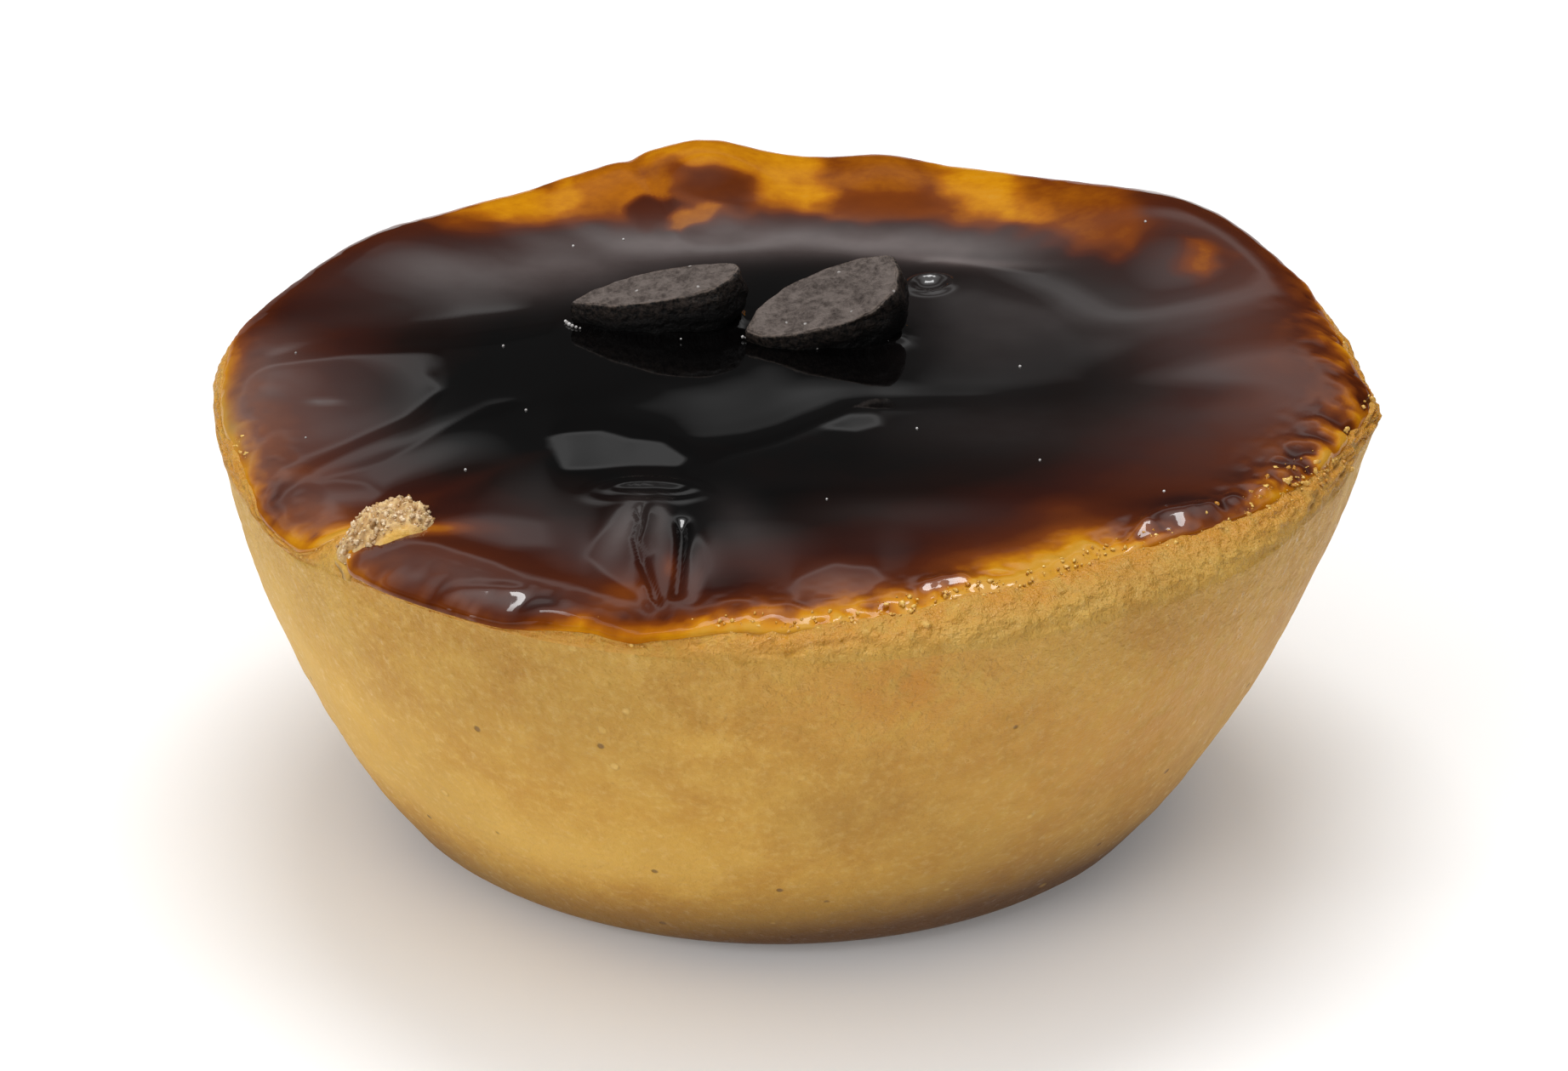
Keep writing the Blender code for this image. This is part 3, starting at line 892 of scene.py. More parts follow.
@dataclass(frozen=True)
class CrustFinish:
    """Pale baked pastry, moist, with blotches, pale flecks, pores and stains of caramel near the glaze."""

    palest: Colour = (0.76, 0.460, 0.085)
    pale: Colour = (0.62, 0.340, 0.046)
    golden: Colour = (0.53, 0.262, 0.026)
    brown: Colour = (0.13, 0.050, 0.005)
    grain: Colour = (0.82, 0.55, 0.16)
    crumb: Colour = (0.82, 0.60, 0.33)
    crumb_shade: Colour = (0.40, 0.22, 0.08)
    wet: Colour = (0.60, 0.255, 0.018)
    pore: Colour = (0.16, 0.075, 0.02)

    def material(self) -> bpy.types.Material:
        """Builds the material."""
        graph = MaterialGraph("baked_crust")
        blotches = graph.noise(7.0, 4.0, 0.6).over(0.35, 0.65)
        grain = graph.noise(0.55, 3.0, 0.6)
        body = graph.mix(blotches, self.golden, self.pale)
        body = graph.mix(graph.noise(2.6, 3.0, 0.6).over(0.45, 0.7) * 0.35, body, self.palest)
        # painted light: the pale attribute lightens patches of the wall
        body = graph.mix(graph.attribute("pale"), body, self.palest)
        body = graph.mix(graph.noise(13.0, 2.0).over(0.50, 0.72) * 0.10, body, self.brown)
        body = graph.mix(grain.over(0.42, 0.72) * 0.24, body, self.grain)
        grainy = graph.attribute("grainy")
        body = graph.mix(graph.noise(0.5, 3.0, 0.7).over(0.54, 0.72) * grainy * 0.30, body, self.grain)
        # the brown of the baked base and the crumbly rim, and painted shade at the foot of the wall
        body = graph.mix(graph.attribute("toast"), body, self.brown)
        # open crumb: the dark colour is painted shade between its grains, the light one painted light on them
        open_crumb = graph.mix(graph.attribute("tone"), self.crumb_shade, self.crumb)
        body = graph.mix(graph.attribute("crumb"), body, open_crumb)
        wet = graph.attribute("wet") * graph.noise(1.3, 3.0, 0.6).over(0.25, 0.6)
        body = graph.mix(wet, body, self.wet)
        flecks = (1.0 - graph.dots(2.7).over(0.06, 0.13)) * graph.noise(7.0, 2.0).over(0.48, 0.62)
        body = graph.mix(flecks * 0.55, body, self.grain)
        pores = 1.0 - graph.dots(3.4).over(0.035, 0.075)
        body = graph.mix(pores * 0.75, body, self.pore)
        graph.set(Base_Color=body, Roughness=0.60 - grain.over(0.55, 0.75) * 0.3 - wet * 0.25)
        graph.set(Specular_IOR_Level=0.5, Subsurface_Weight=0.15, Subsurface_Scale=1.2 * MM)
        graph.set(Subsurface_Radius=(1.0, 0.55, 0.2))
        rough = graph.noise(0.8, 4.0, 0.65) * grainy * 3.0
        height = graph.noise(0.5, 4.0, 0.65) * 0.7 + graph.noise(2.2, 2.0, 0.5) * 0.8 + rough - pores * 0.6
        graph.bump(height + flecks * 0.5, 0.21)
        return graph.material


@dataclass(frozen=True)
class GlazeFinish:
    """Coffee caramel: gold where it is thin, then orange, red-brown and black as it gets deeper."""

    depths: tuple[tuple[float, Colour], ...] = (
        (0.00, (0.58, 0.290, 0.030)),
        (0.10, (0.56, 0.225, 0.004)),
        (0.22, (0.38, 0.115, 0.003)),
        (0.34, (0.175, 0.038, 0.003)),
        (0.48, (0.075, 0.013, 0.002)),
        (0.64, (0.030, 0.005, 0.002)),
        (0.82, (0.008, 0.0022, 0.0012)),
        (1.00, (0.0012, 0.0010, 0.0010)),
    )
    # painted sheen: grey mixed into the colour where reflected light shows on the glaze
    bloom: Colour = (0.125, 0.098, 0.094)

    def material(self) -> bpy.types.Material:
        """Builds the material."""
        graph = MaterialGraph("coffee_glaze")
        cloud = graph.noise(4.5, 3.0, 0.55) - 0.5
        fine = graph.noise(0.9, 3.0, 0.6) - 0.5
        depth = graph.attribute("depth")
        edge = 1.0 - depth.over(0.1, 0.5)
        body = graph.ramp(depth + cloud * 0.14 + fine * edge * 0.16, list(self.depths))
        # painted reflection: the sheen attribute, clouded, mixes grey into the caramel's colour
        sheen_share = graph.attribute("bloom") * (0.9 + cloud)
        body = graph.mix(sheen_share, body, self.bloom)
        graph.set(Base_Color=body, Roughness=0.05, IOR=1.5)
        dull = graph.node("ShaderNodeBsdfDiffuse", None, {"Color": body})
        inputs = {0: graph.attribute("dull"), 1: graph.shader.outputs[0], 2: dull.outputs[0]}
        both = graph.node("ShaderNodeMixShader", None, inputs)
        graph.feed(graph.tree.nodes["Material Output"].inputs["Surface"], both.outputs[0])
        return graph.material


@dataclass(frozen=True)
class ChocolateFinish:
    """Dark chocolate: a dull broken face dusted with fine pale grains, and darker sides."""

    face: Colour = (0.140, 0.113, 0.100)
    side: Colour = (0.0015, 0.0012, 0.0012)

    def material(self) -> bpy.types.Material:
        """Builds the material."""
        graph = MaterialGraph("dark_chocolate")
        grain = graph.noise(0.32, 4.0, 0.7)
        streaks = graph.noise(1.1, 3.0, 0.6)
        dull = graph.attribute("face")
        face = graph.mix(grain.over(0.30, 0.70), (0.062, 0.048, 0.042), self.face)
        face = graph.mix(streaks.over(0.42, 0.62) * 0.6, face, (0.185, 0.152, 0.136))
        face = graph.mix((1.0 - graph.dots(1.3).over(0.05, 0.10)) * 0.8, face, (0.50, 0.48, 0.46))
        shoulder = graph.attribute("shoulder") * grain.over(0.35, 0.7)
        side = graph.mix(shoulder, self.side, (0.050, 0.036, 0.029))
        body = graph.mix(dull.over(0.0, 0.6), side, face)
        body = graph.mix(graph.attribute("rim") * grain.over(0.4, 0.6) * 0.3, body, (0.22, 0.165, 0.13))
        graph.set(Base_Color=body, Roughness=0.5 + dull * 0.3, Specular_IOR_Level=0.2)
        graph.bump(grain + streaks * 0.6, 0.25)
        return graph.material


@dataclass(frozen=True)
class CrumbFinish:
    """Sugary crumbs, from caramel brown to gold, wet with glaze."""

    name: str
    dark: Colour
    light: Colour
    roughness: float

    def material(self) -> bpy.types.Material:
        """Builds the material."""
        graph = MaterialGraph(self.name)
        tone = graph.attribute("tone")
        graph.set(Base_Color=graph.mix(tone, self.dark, self.light), Roughness=self.roughness)
        graph.bump(graph.noise(0.25, 2.0), 0.05)
        return graph.material


@dataclass(frozen=True)
class FloorFinish:
    """A plain pale table."""

    colour: Colour = (0.86, 0.86, 0.86)

    def material(self) -> bpy.types.Material:
        """Builds the material."""
        graph = MaterialGraph("pale_table")
        graph.set(Base_Color=self.colour, Roughness=0.9, Specular_IOR_Level=0.1)
        graph.set(Emission_Color=(1.0, 1.0, 1.0), Emission_Strength=0.12)
        return graph.material


# The pieces


def spaced_azimuths(count: int) -> Array:
    """Angles round the tart, closest together at the front and at the back, where the detail is."""
    fine = np.linspace(-180.0, 180.0, 3601)
    density = 1.0 + 0.9 * bump(turn_between(fine, -100.0), 55.0) + 0.3 * bump(turn_between(fine, 90.0), 40.0)
    total = np.concatenate(([0.0], np.cumsum((density[1:] + density[:-1]) / 2.0)))
    return np.interp(np.linspace(0.0, total[-1], count, endpoint=False), total, fine)


@dataclass
class BakedBody:
    """The baked cup: base, wall, lip, and the bed under the glaze."""

    form: Form
    azimuths: int = 640
    wall_rings: int = 78
    lip_rings: int = 24
    bed_depth: float = 2.75
    ledge: float = 0.3
    # azimuth, half width, height, half height, strength: darker (+) and paler (-), as painted shade and
    # painted light with a few small marks among them; and stained by caramel
    patches_of_shade_light_and_marks: Patches = (
        (-112.0, 16.0, 20.0, 6.0, 0.20), (-75.0, 14.0, 14.0, 5.0, 0.10), (-60.0, 18.0, 6.0, 4.5, 0.22),
        (-35.0, 18.0, 10.0, 7.0, 0.12), (-116.0, 22.0, 7.5, 4.0, -0.22), (-150.0, 20.0, 15.0, 9.0, -0.15),
        (-79.0, 0.9, 23.0, 0.9, 0.35), (-97.0, 4.0, 19.0, 1.2, -0.22), (-70.0, 8.0, 22.0, 1.6, -0.18),
        (-83.0, 8.0, 13.5, 2.6, 0.12),
    )
    stained: Patches = (
        (-80.0, 12.0, 22.5, 3.2, 0.75), (-46.0, 24.0, 17.0, 8.0, 0.55), (-78.0, 3.0, 24.5, 2.0, 0.30),
    )

    @staticmethod
    def patches(azimuth: Array, z: Array, table: Patches) -> Array:
        """Places of the wall that differ, by azimuth, half width, height, half height and strength."""
        total = np.zeros_like(azimuth)
        for middle, half_width, height, half_height, strength in table:
            across = bump(turn_between(azimuth, middle), half_width)
            total = total + strength * across * bump(z - height, half_height)
        return total

    def wall(self, count: int) -> tuple[Array, Array]:
        """Radius and height along the wall's outline, from the base's edge to the foot of the lip.

        The fillet is a quarter-like arc of the base's fillet, and the wall a straight line plus an
        outward swell of bulge * 4t(1 - t).
        """
        form = self.form
        across = form.rim_radius - form.base_radius
        up = form.rim_height - form.lip_drop - form.base_fillet
        lean = math.atan2(up, across) - math.asin(form.base_fillet / math.hypot(across, up))
        arc = np.linspace(0.0, lean, 14)
        t = np.linspace(0.0, 1.0, count + 1)[1:]
        low_r = form.base_radius + form.base_fillet * np.sin(arc)
        low_z = form.base_fillet * (1.0 - np.cos(arc))
        swell = form.wall_bulge * 4.0 * t * (1.0 - t)
        radius = low_r[-1] + (form.rim_radius - low_r[-1]) * t + swell * math.sin(lean)
        top = form.rim_height - form.lip_drop
        height = low_z[-1] + (top - low_z[-1]) * t - swell * math.cos(lean)
        return np.concatenate((low_r, radius)), np.concatenate((low_z, height))

    def roughness_at(self, azimuth: Array, height: Array) -> Array:
        """Fine unevenness of the wall: lattice noise of about 6, 1.3 and 0.7 mm."""
        around = azimuth / 360.0
        large = lattice_noise(around * 36.0, height / 6.0 + 9.0, 31, 36)
        middle = lattice_noise(around * 168.0, height / 1.3 + 9.0, 32, 168)
        fine = lattice_noise(around * 250.0, height / 0.6 + 9.0, 33, 250)
        return 0.14 * large + 0.05 * middle + 0.025 * fine

    def add_base(self, stack: RingStack, azimuth: Array) -> None:
        """Adds the rings of the flat base, which is baked brown."""
        form = self.form
        turn = np.radians(azimuth)
        stack.add(np.array([[form.base_lean, 0.0, 0.0]]))
        for share in (0.4, 0.8):
            x = form.base_radius * share * np.cos(turn) + form.base_lean
            stack.add(np.column_stack((x, form.base_radius * share * np.sin(turn), 0.0 * turn)), toast=0.9)

    def add_wall(self, stack: RingStack, azimuth: Array) -> None:
        """Adds the rings of the wall, with painted shade that makes it darker and more brown towards its
        foot, most of all on the right.
        """
        form = self.form
        turn = np.radians(azimuth)
        right = 1.0 - smooth(np.abs(turn_between(azimuth, 10.0)), 90.0, 135.0)
        for radius, height in zip(*self.wall(self.wall_rings)):
            share = height / (form.rim_height - form.lip_drop)
            rough = self.roughness_at(azimuth, 0.0 * azimuth + height) * smooth(np.array(height), 0.2, 3.0)
            out = radius + (form.radius(azimuth) - form.rim_radius) * share + np.minimum(rough, 0.12)
            x = out * np.cos(turn) + form.base_lean * (1.0 - share)
            z = height + form.lift(azimuth) * share
            # painted shade: darker and more brown towards the foot, most of all on the right; the patches add
            # painted shade (+) and painted light (-), with a few small marks
            foot_shade_and_patches = 0.95 * smooth(-z, -9.5, -0.3) ** 1.5 * (0.75 + 0.45 * right)
            foot_shade_and_patches = foot_shade_and_patches + self.patches(azimuth, z, self.patches_of_shade_light_and_marks)
            stack.add(
                np.column_stack((x, out * np.sin(turn), z)),
                toast=np.clip(foot_shade_and_patches, 0.0, 1.0),
                pale=np.clip(-foot_shade_and_patches, 0.0, 1.0) * 4.0,
                grainy=smooth(z, 12.0, 24.0),
                wet=self.patches(azimuth, z, self.stained),
            )

    def add_lip(self, stack: RingStack, azimuth: Array, step: Array) -> None:
        """Adds the rings of the lip up to the step under the glaze, crumbly in places and wet near it."""
        form = self.form
        crumbling = form.crumbling(azimuth)
        foot = form.crest(azimuth) + form.lip_length()
        for share in np.linspace(0.0, 1.0, self.lip_rings + 1)[1:]:
            s = foot + (step - foot) * share
            rough = self.roughness_at(azimuth, form.rim_height + 0.0 * s + share * 4.0)
            crumbly = lattice_noise(azimuth / 1.5, 0.0 * s + share * 6.0, 35, 240)
            crumbly = crumbly + 0.6 * lattice_noise(azimuth / 0.72, 0.0 * s + share * 11.0, 37, 500)
            crumbly = crumbly * (0.05 + 0.15 * crumbling) * smooth(np.array(share), 0.0, 0.4)
            stack.add(
                form.skin(azimuth, s, np.clip(rough + crumbly, -0.4, 0.5)),
                # more brown where the rim is crumbly, and darker in its pits than on its bumps
                toast=np.clip((0.35 - 1.6 * crumbly) * crumbling**2, 0.0, 0.6),
                grainy=1.0,
                wet=smooth(form.border(azimuth) - s, -2.4, -0.1) * (0.75 + 0.25 * crumbling),
            )

    def build(self, finish: bpy.types.Material) -> bpy.types.Object:
        """Makes the mesh.

        Args:
            finish: the crust's material.

        Returns:
            The object, with attributes for where the crust is darker (baked, and painted shade), paler
            (painted light), grainy and wet with glaze.
        """
        form = self.form
        azimuth = spaced_azimuths(self.azimuths)
        step = form.border(azimuth) - self.ledge
        stack = RingStack("toast", "pale", "grainy", "wet")
        self.add_base(stack, azimuth)
        self.add_wall(stack, azimuth)
        self.add_lip(stack, azimuth, step)
        for drop, share in (
            (0.25, 0.985), (0.6, 0.95), (1.5, 0.88), (self.bed_depth, 0.6), (self.bed_depth, 0.3)
        ):
            stack.add(form.skin(azimuth, step * share, 0.0 * step - drop), wet=1.0)
        stack.add(np.array([[0.0, 0.0, form.rim_height - form.top_dish - self.bed_depth]]), wet=1.0)
        return stack.piece("baked_cup", finish)


@dataclass
class CoffeeGlaze:
    """The pool of coffee caramel on top, with its waves, lobes and folded edge."""

    form: Form
    relief: Relief
    chocolates: list["ChocolatePiece"]
    azimuths: int = 640
    rings: int = 140
    edge_width: float = 1.0
    edge_height: float = 0.2
    border_thickness: float = 0.3
    thickness: float = 2.4
    thick_edges: Bumps = (
        (-44.0, 7.0, 0.3), (-149.0, 8.0, 0.2), (-88.0, 20.0, -0.16), (-60.0, 12.0, -0.12),
        (160.0, 20.0, -0.1),
    )
    levelled: Bumps = (
        (-124.0, 11.5, 1.2), (-86.0, 22.0, 1.0), (-44.0, 7.0, 0.7),
    )
    thin_edges: Bumps = (
        (-88.0, 17.0, 0.45), (-62.0, 11.0, 1.1), (-168.0, 14.0, 0.4), (178.0, 12.0, 0.5), (-143.0, 5.0, 0.8),
    )
    dark_edges: Bumps = (
        (-124.0, 12.0, 0.42), (-104.0, 4.0, 0.25), (-149.0, 8.0, 0.32), (-44.0, 8.0, 0.34),
        (-76.0, 4.0, 0.12), (165.0, 20.0, 0.16), (40.0, 22.0, 0.18), (-14.0, 18.0, 0.28),
    )
    dull_edges: Bumps = (
        (-120.0, 14.0, 0.8), (-104.0, 9.0, 0.6), (-86.0, 15.0, 0.75), (-60.0, 14.0, 0.5), (168.0, 30.0, 0.95),
        (8.0, 32.0, 0.9),
    )
    dull_reach: Bumps = (
        (168.0, 34.0, 2.8), (12.0, 30.0, 2.4), (-101.0, 9.0, 1.1),
    )
    depth_of_gap: tuple[float, ...] = (0.0, 0.4, 0.9, 1.5, 2.8, 5.0, 8.0, 12.0, 16.0, 40.0)
    depth_there: tuple[float, ...] = (0.02, 0.13, 0.25, 0.38, 0.48, 0.56, 0.66, 0.82, 0.96, 1.1)

    def edge(self, azimuth: Array, gap: Array) -> Array:
        """The rounded edge, from a little under the crust: height * sqrt(1 - (1 - gap / width)^2)."""
        share = np.clip(gap / self.edge_width, 0.0, 1.0)
        extra = sum_of_bumps(azimuth, self.thick_edges) * np.exp(-np.clip(gap, 0.0, None) / 2.2)
        return (self.edge_height + extra) * np.sqrt(1.0 - (1.0 - share) ** 2) - 0.18 * (1.0 - share)

    def levelling(self, azimuth: Array, s: Array, gap: Array) -> Array:
        """How far a thick tongue fills the fall of the lip.

        The tongue falls by 0.1 of its reach, and its end is round: fill * sqrt(1 - (1 - gap / 0.6)^2).

        Args:
            azimuth: angles in degrees.
            s: distances from the middle of the top.
            gap: distances from the border of the glaze.

        Returns:
            The extra height over the skin.
        """
        form = self.form
        angle = np.clip((s - form.crest(azimuth)) / form.lip_length(), 0.0, 1.0) * math.pi / 2.0
        fall = form.lip_drop * (1.0 - np.cos(angle)) - 0.1 * form.lip_width * np.sin(angle)
        share = np.clip(sum_of_bumps(azimuth, self.levelled), 0.0, 1.0)
        return share * np.clip(fall, 0.0, None) * np.sqrt(1.0 - (1.0 - np.clip(gap / 0.6, 0.0, 1.0)) ** 2)

    def lumps(self, x: Array, y: Array, gap: Array) -> tuple[Array, Array]:
        """Fine lumps of 0.95 and 0.45 mm, and how near the border each place is, where they show."""
        lumps = mottling(x, y, (0.95, 0.95), 71, 50.0) + 0.6 * mottling(x, y, (0.45, 0.45), 72, 90.0)
        return lumps, bump(gap, 2.4) * smooth(gap, 0.0, 0.5)

    def height(self, azimuth: Array, s: Array, x: Array, y: Array) -> Array:
        """How far the glaze stands out of the skin: edge, tongue, waves, lumps and a rise at the chunks."""
        gap = self.form.border(azimuth) - s
        lumps, near = self.lumps(x, y, gap)
        rough = lumps * near * (0.03 + 0.16 * self.form.crumbling(azimuth))
        waves = self.relief.at(x, y) * smooth(gap, 0.0, 1.4)
        out = self.edge(azimuth, gap) + self.levelling(azimuth, s, gap) + waves + rough
        for piece in self.chocolates:
            away = -depth_inside(x, y, piece.footprint())
            out = out + 0.3 * np.exp(-np.clip(away, 0.0, None) / 0.4)
        return out

    def colouring(self, azimuth: Array, s: Array, x: Array, y: Array) -> tuple[Array, Array]:
        """The glaze's depth of colour and its dullness.

        Args:
            azimuth: angles in degrees.
            s: distances from the middle of the top.
            x: places along X.
            y: places along Y.

        Returns:
            A depth from 0 at the border to about 1 in the middle, and a dullness from 0 to 1.
        """
        gap = self.form.border(azimuth) - s
        lumps, near = self.lumps(x, y, gap)
        thin = gap - sum_of_bumps(azimuth, self.thin_edges)
        depth = np.interp(thin, self.depth_of_gap, self.depth_there)
        depth = depth - lumps * near * (0.05 + 0.26 * self.form.crumbling(azimuth))
        for spot_x, spot_y, half_x, half_y, change in DEPTH_SPOTS:
            depth = depth + change * np.exp(-(((x - spot_x) / half_x) ** 2) - ((y - spot_y) / half_y) ** 2)
        fade = np.exp(-np.clip(gap, 0.0, None) / 1.6) * smooth(gap, -0.3, 0.2)
        depth = depth + sum_of_bumps(azimuth, self.dark_edges) * fade
        reach = 1.6 + sum_of_bumps(azimuth, self.dull_reach)
        dull = np.clip(sum_of_bumps(azimuth, self.dull_edges), 0.0, 0.95)
        dull = dull * (1.0 - smooth(gap / reach, 0.45, 1.0))
        dull = dull * np.clip(1.0 - 0.6 * lumps * (reach < 2.0), 0.15, 1.0)
        stray_x = x + 0.7 * mottling(x, y, (1.5, 1.5), 75, 70.0) + 0.9 * mottling(x, y, (3.3, 2.4), 77, 30.0)
        stray_y = y + 0.7 * mottling(x, y, (1.6, 1.6), 76, 90.0)
        for there, soft, outline in DEPTH_PATCHES:
            share = smooth(depth_inside(stray_x, stray_y, outline), -soft, soft)
            depth = depth + (there - depth) * share
            dull = np.maximum(dull, 0.75 * share)
        return np.clip(depth, 0.0, 1.1), dull

    def build(self, finish: bpy.types.Material) -> bpy.types.Object:
        """Makes the mesh.

        Args:
            finish: the glaze's material.

        Returns:
            The object, with depth, painted sheen and dull attributes for its looks.
        """
        form = self.form
        azimuth = spaced_azimuths(self.azimuths)
        border = form.border(azimuth)
        middle = form.rim_height - form.top_dish
        stack = RingStack("depth", "bloom", "dull")
        stack.add(np.array([[0.0, 0.0, middle - self.thickness]]), depth=1.0)
        for share in (0.3, 0.6, 0.85, 0.96, 0.99, 1.0):
            s = border * share
            more = (self.thickness - self.border_thickness) * smooth(1.0 - s / border, 0.0, 0.25)
            stack.add(form.skin(azimuth, s, -self.border_thickness - more), depth=0.3)
        for share in 1.0 - np.linspace(0.0, 1.0, self.rings + 1)[:-1] ** 1.25:
            s = border * share
            x, y, _ = form.skin(azimuth, s, 0.0 * s).T
            depth, dull = self.colouring(azimuth, s, x, y)
            # painted sheen, fading out at the border
            bloom = bloom_at(x, y) * smooth(border - s, 0.1, 1.2)
            points = form.skin(azimuth, s, self.height(azimuth, s, x, y))
            stack.add(points, depth=depth, bloom=bloom, dull=dull)
        top = float(self.relief.at(np.zeros(1), np.zeros(1))[0]) + self.edge_height
        stack.add(np.array([[0.0, 0.0, middle + top]]), depth=1.0)
        return stack.piece("coffee_caramel", finish)


@dataclass
class CrumbRidge:
    """The lump of open crumb that stands up through the glaze at the front left."""

    form: Form
    corners: Points = (
        (-23.9, -19.3), (-22.8, -18.5), (-21.3, -18.8), (-20.4, -20.4), (-19.9, -21.8), (-20.4, -23.4),
        (-22.0, -24.5), (-23.7, -25.1), (-24.9, -24.6), (-25.6, -23.5), (-25.5, -22.7), (-24.9, -21.8),
        (-24.6, -20.5),
    )
    height: float = 0.95
    root: float = 1.2

    def open_part(self, x: Array, y: Array) -> Array:
        """1 where the crumb lies open, at the rear and on the right, and 0 on the smooth slope in front."""
        return smooth(y - 0.35 * x + 0.5 * mottling(x, y, (0.7, 0.7), 38, 60.0), -16.1, -15.0)

    def top(self, x: Array, y: Array) -> Array:
        """The height of the lump: its skin, a swell inside its outline, and grain of 0.6 and 0.25 mm."""
        inside = depth_inside(x, y, self.corners)
        swell = smooth(inside, -0.15, 0.9) * (0.2 + 0.8 * smooth(y, -25.0, -22.0))
        grain = mottling(x, y, (0.6, 0.8), 34, 60.0) + 0.8 * mottling(x, y, (0.25, 0.3), 36, 60.0)
        _, _, skin = self.form.top_at(x, y)
        rough = 0.03 + 0.20 * self.open_part(x, y)
        return skin + self.height * swell + rough * grain * smooth(inside, 0.0, 0.5)

    def build(self, finish: bpy.types.Material) -> bpy.types.Object:
        """Makes the mesh.

        Args:
            finish: the crumb's material.

        Returns:
            The object, with a crumb attribute for its open part and a shade value that paints light on the
            raised grains and shade between them.
        """
        corners = np.array(self.corners + self.corners[:1])
        at = np.linspace(0.0, len(self.corners), 220, endpoint=False)
        outline = np.column_stack([
            np.interp(at, np.arange(len(corners)), corners[:, axis]) for axis in (0, 1)
        ])
        middle = outline.mean(axis=0)
        _, _, low = self.form.top_at(outline[:, 0] * 0.97, outline[:, 1] * 0.97)
        stack = RingStack("tone", "crumb")
        stack.add(np.array([[*middle, float(low.mean()) - self.root]]))
        for share, drop in ((0.6, self.root), (1.04, 0.5 * self.root)):
            stack.add(np.column_stack((middle + (outline - middle) * share, low - drop)))
        for share in np.linspace(1.03, 0.02, 90):
            x, y = (middle + (outline - middle) * share).T
            # painted light and shade: lighter where the fine grain of the top stands up, darker between
            tone = np.clip(0.45 + 0.6 * mottling(x, y, (0.25, 0.3), 36, 60.0), 0.0, 1.0)
            stack.add(np.column_stack((x, y, self.top(x, y))), tone=tone, crumb=0.8 * self.open_part(x, y))
        top = self.top(middle[:1], middle[1:])
        stack.add(np.array([[*middle, float(top[0])]]), tone=0.5, crumb=0.8)
        return stack.piece("crumb_ridge", finish)


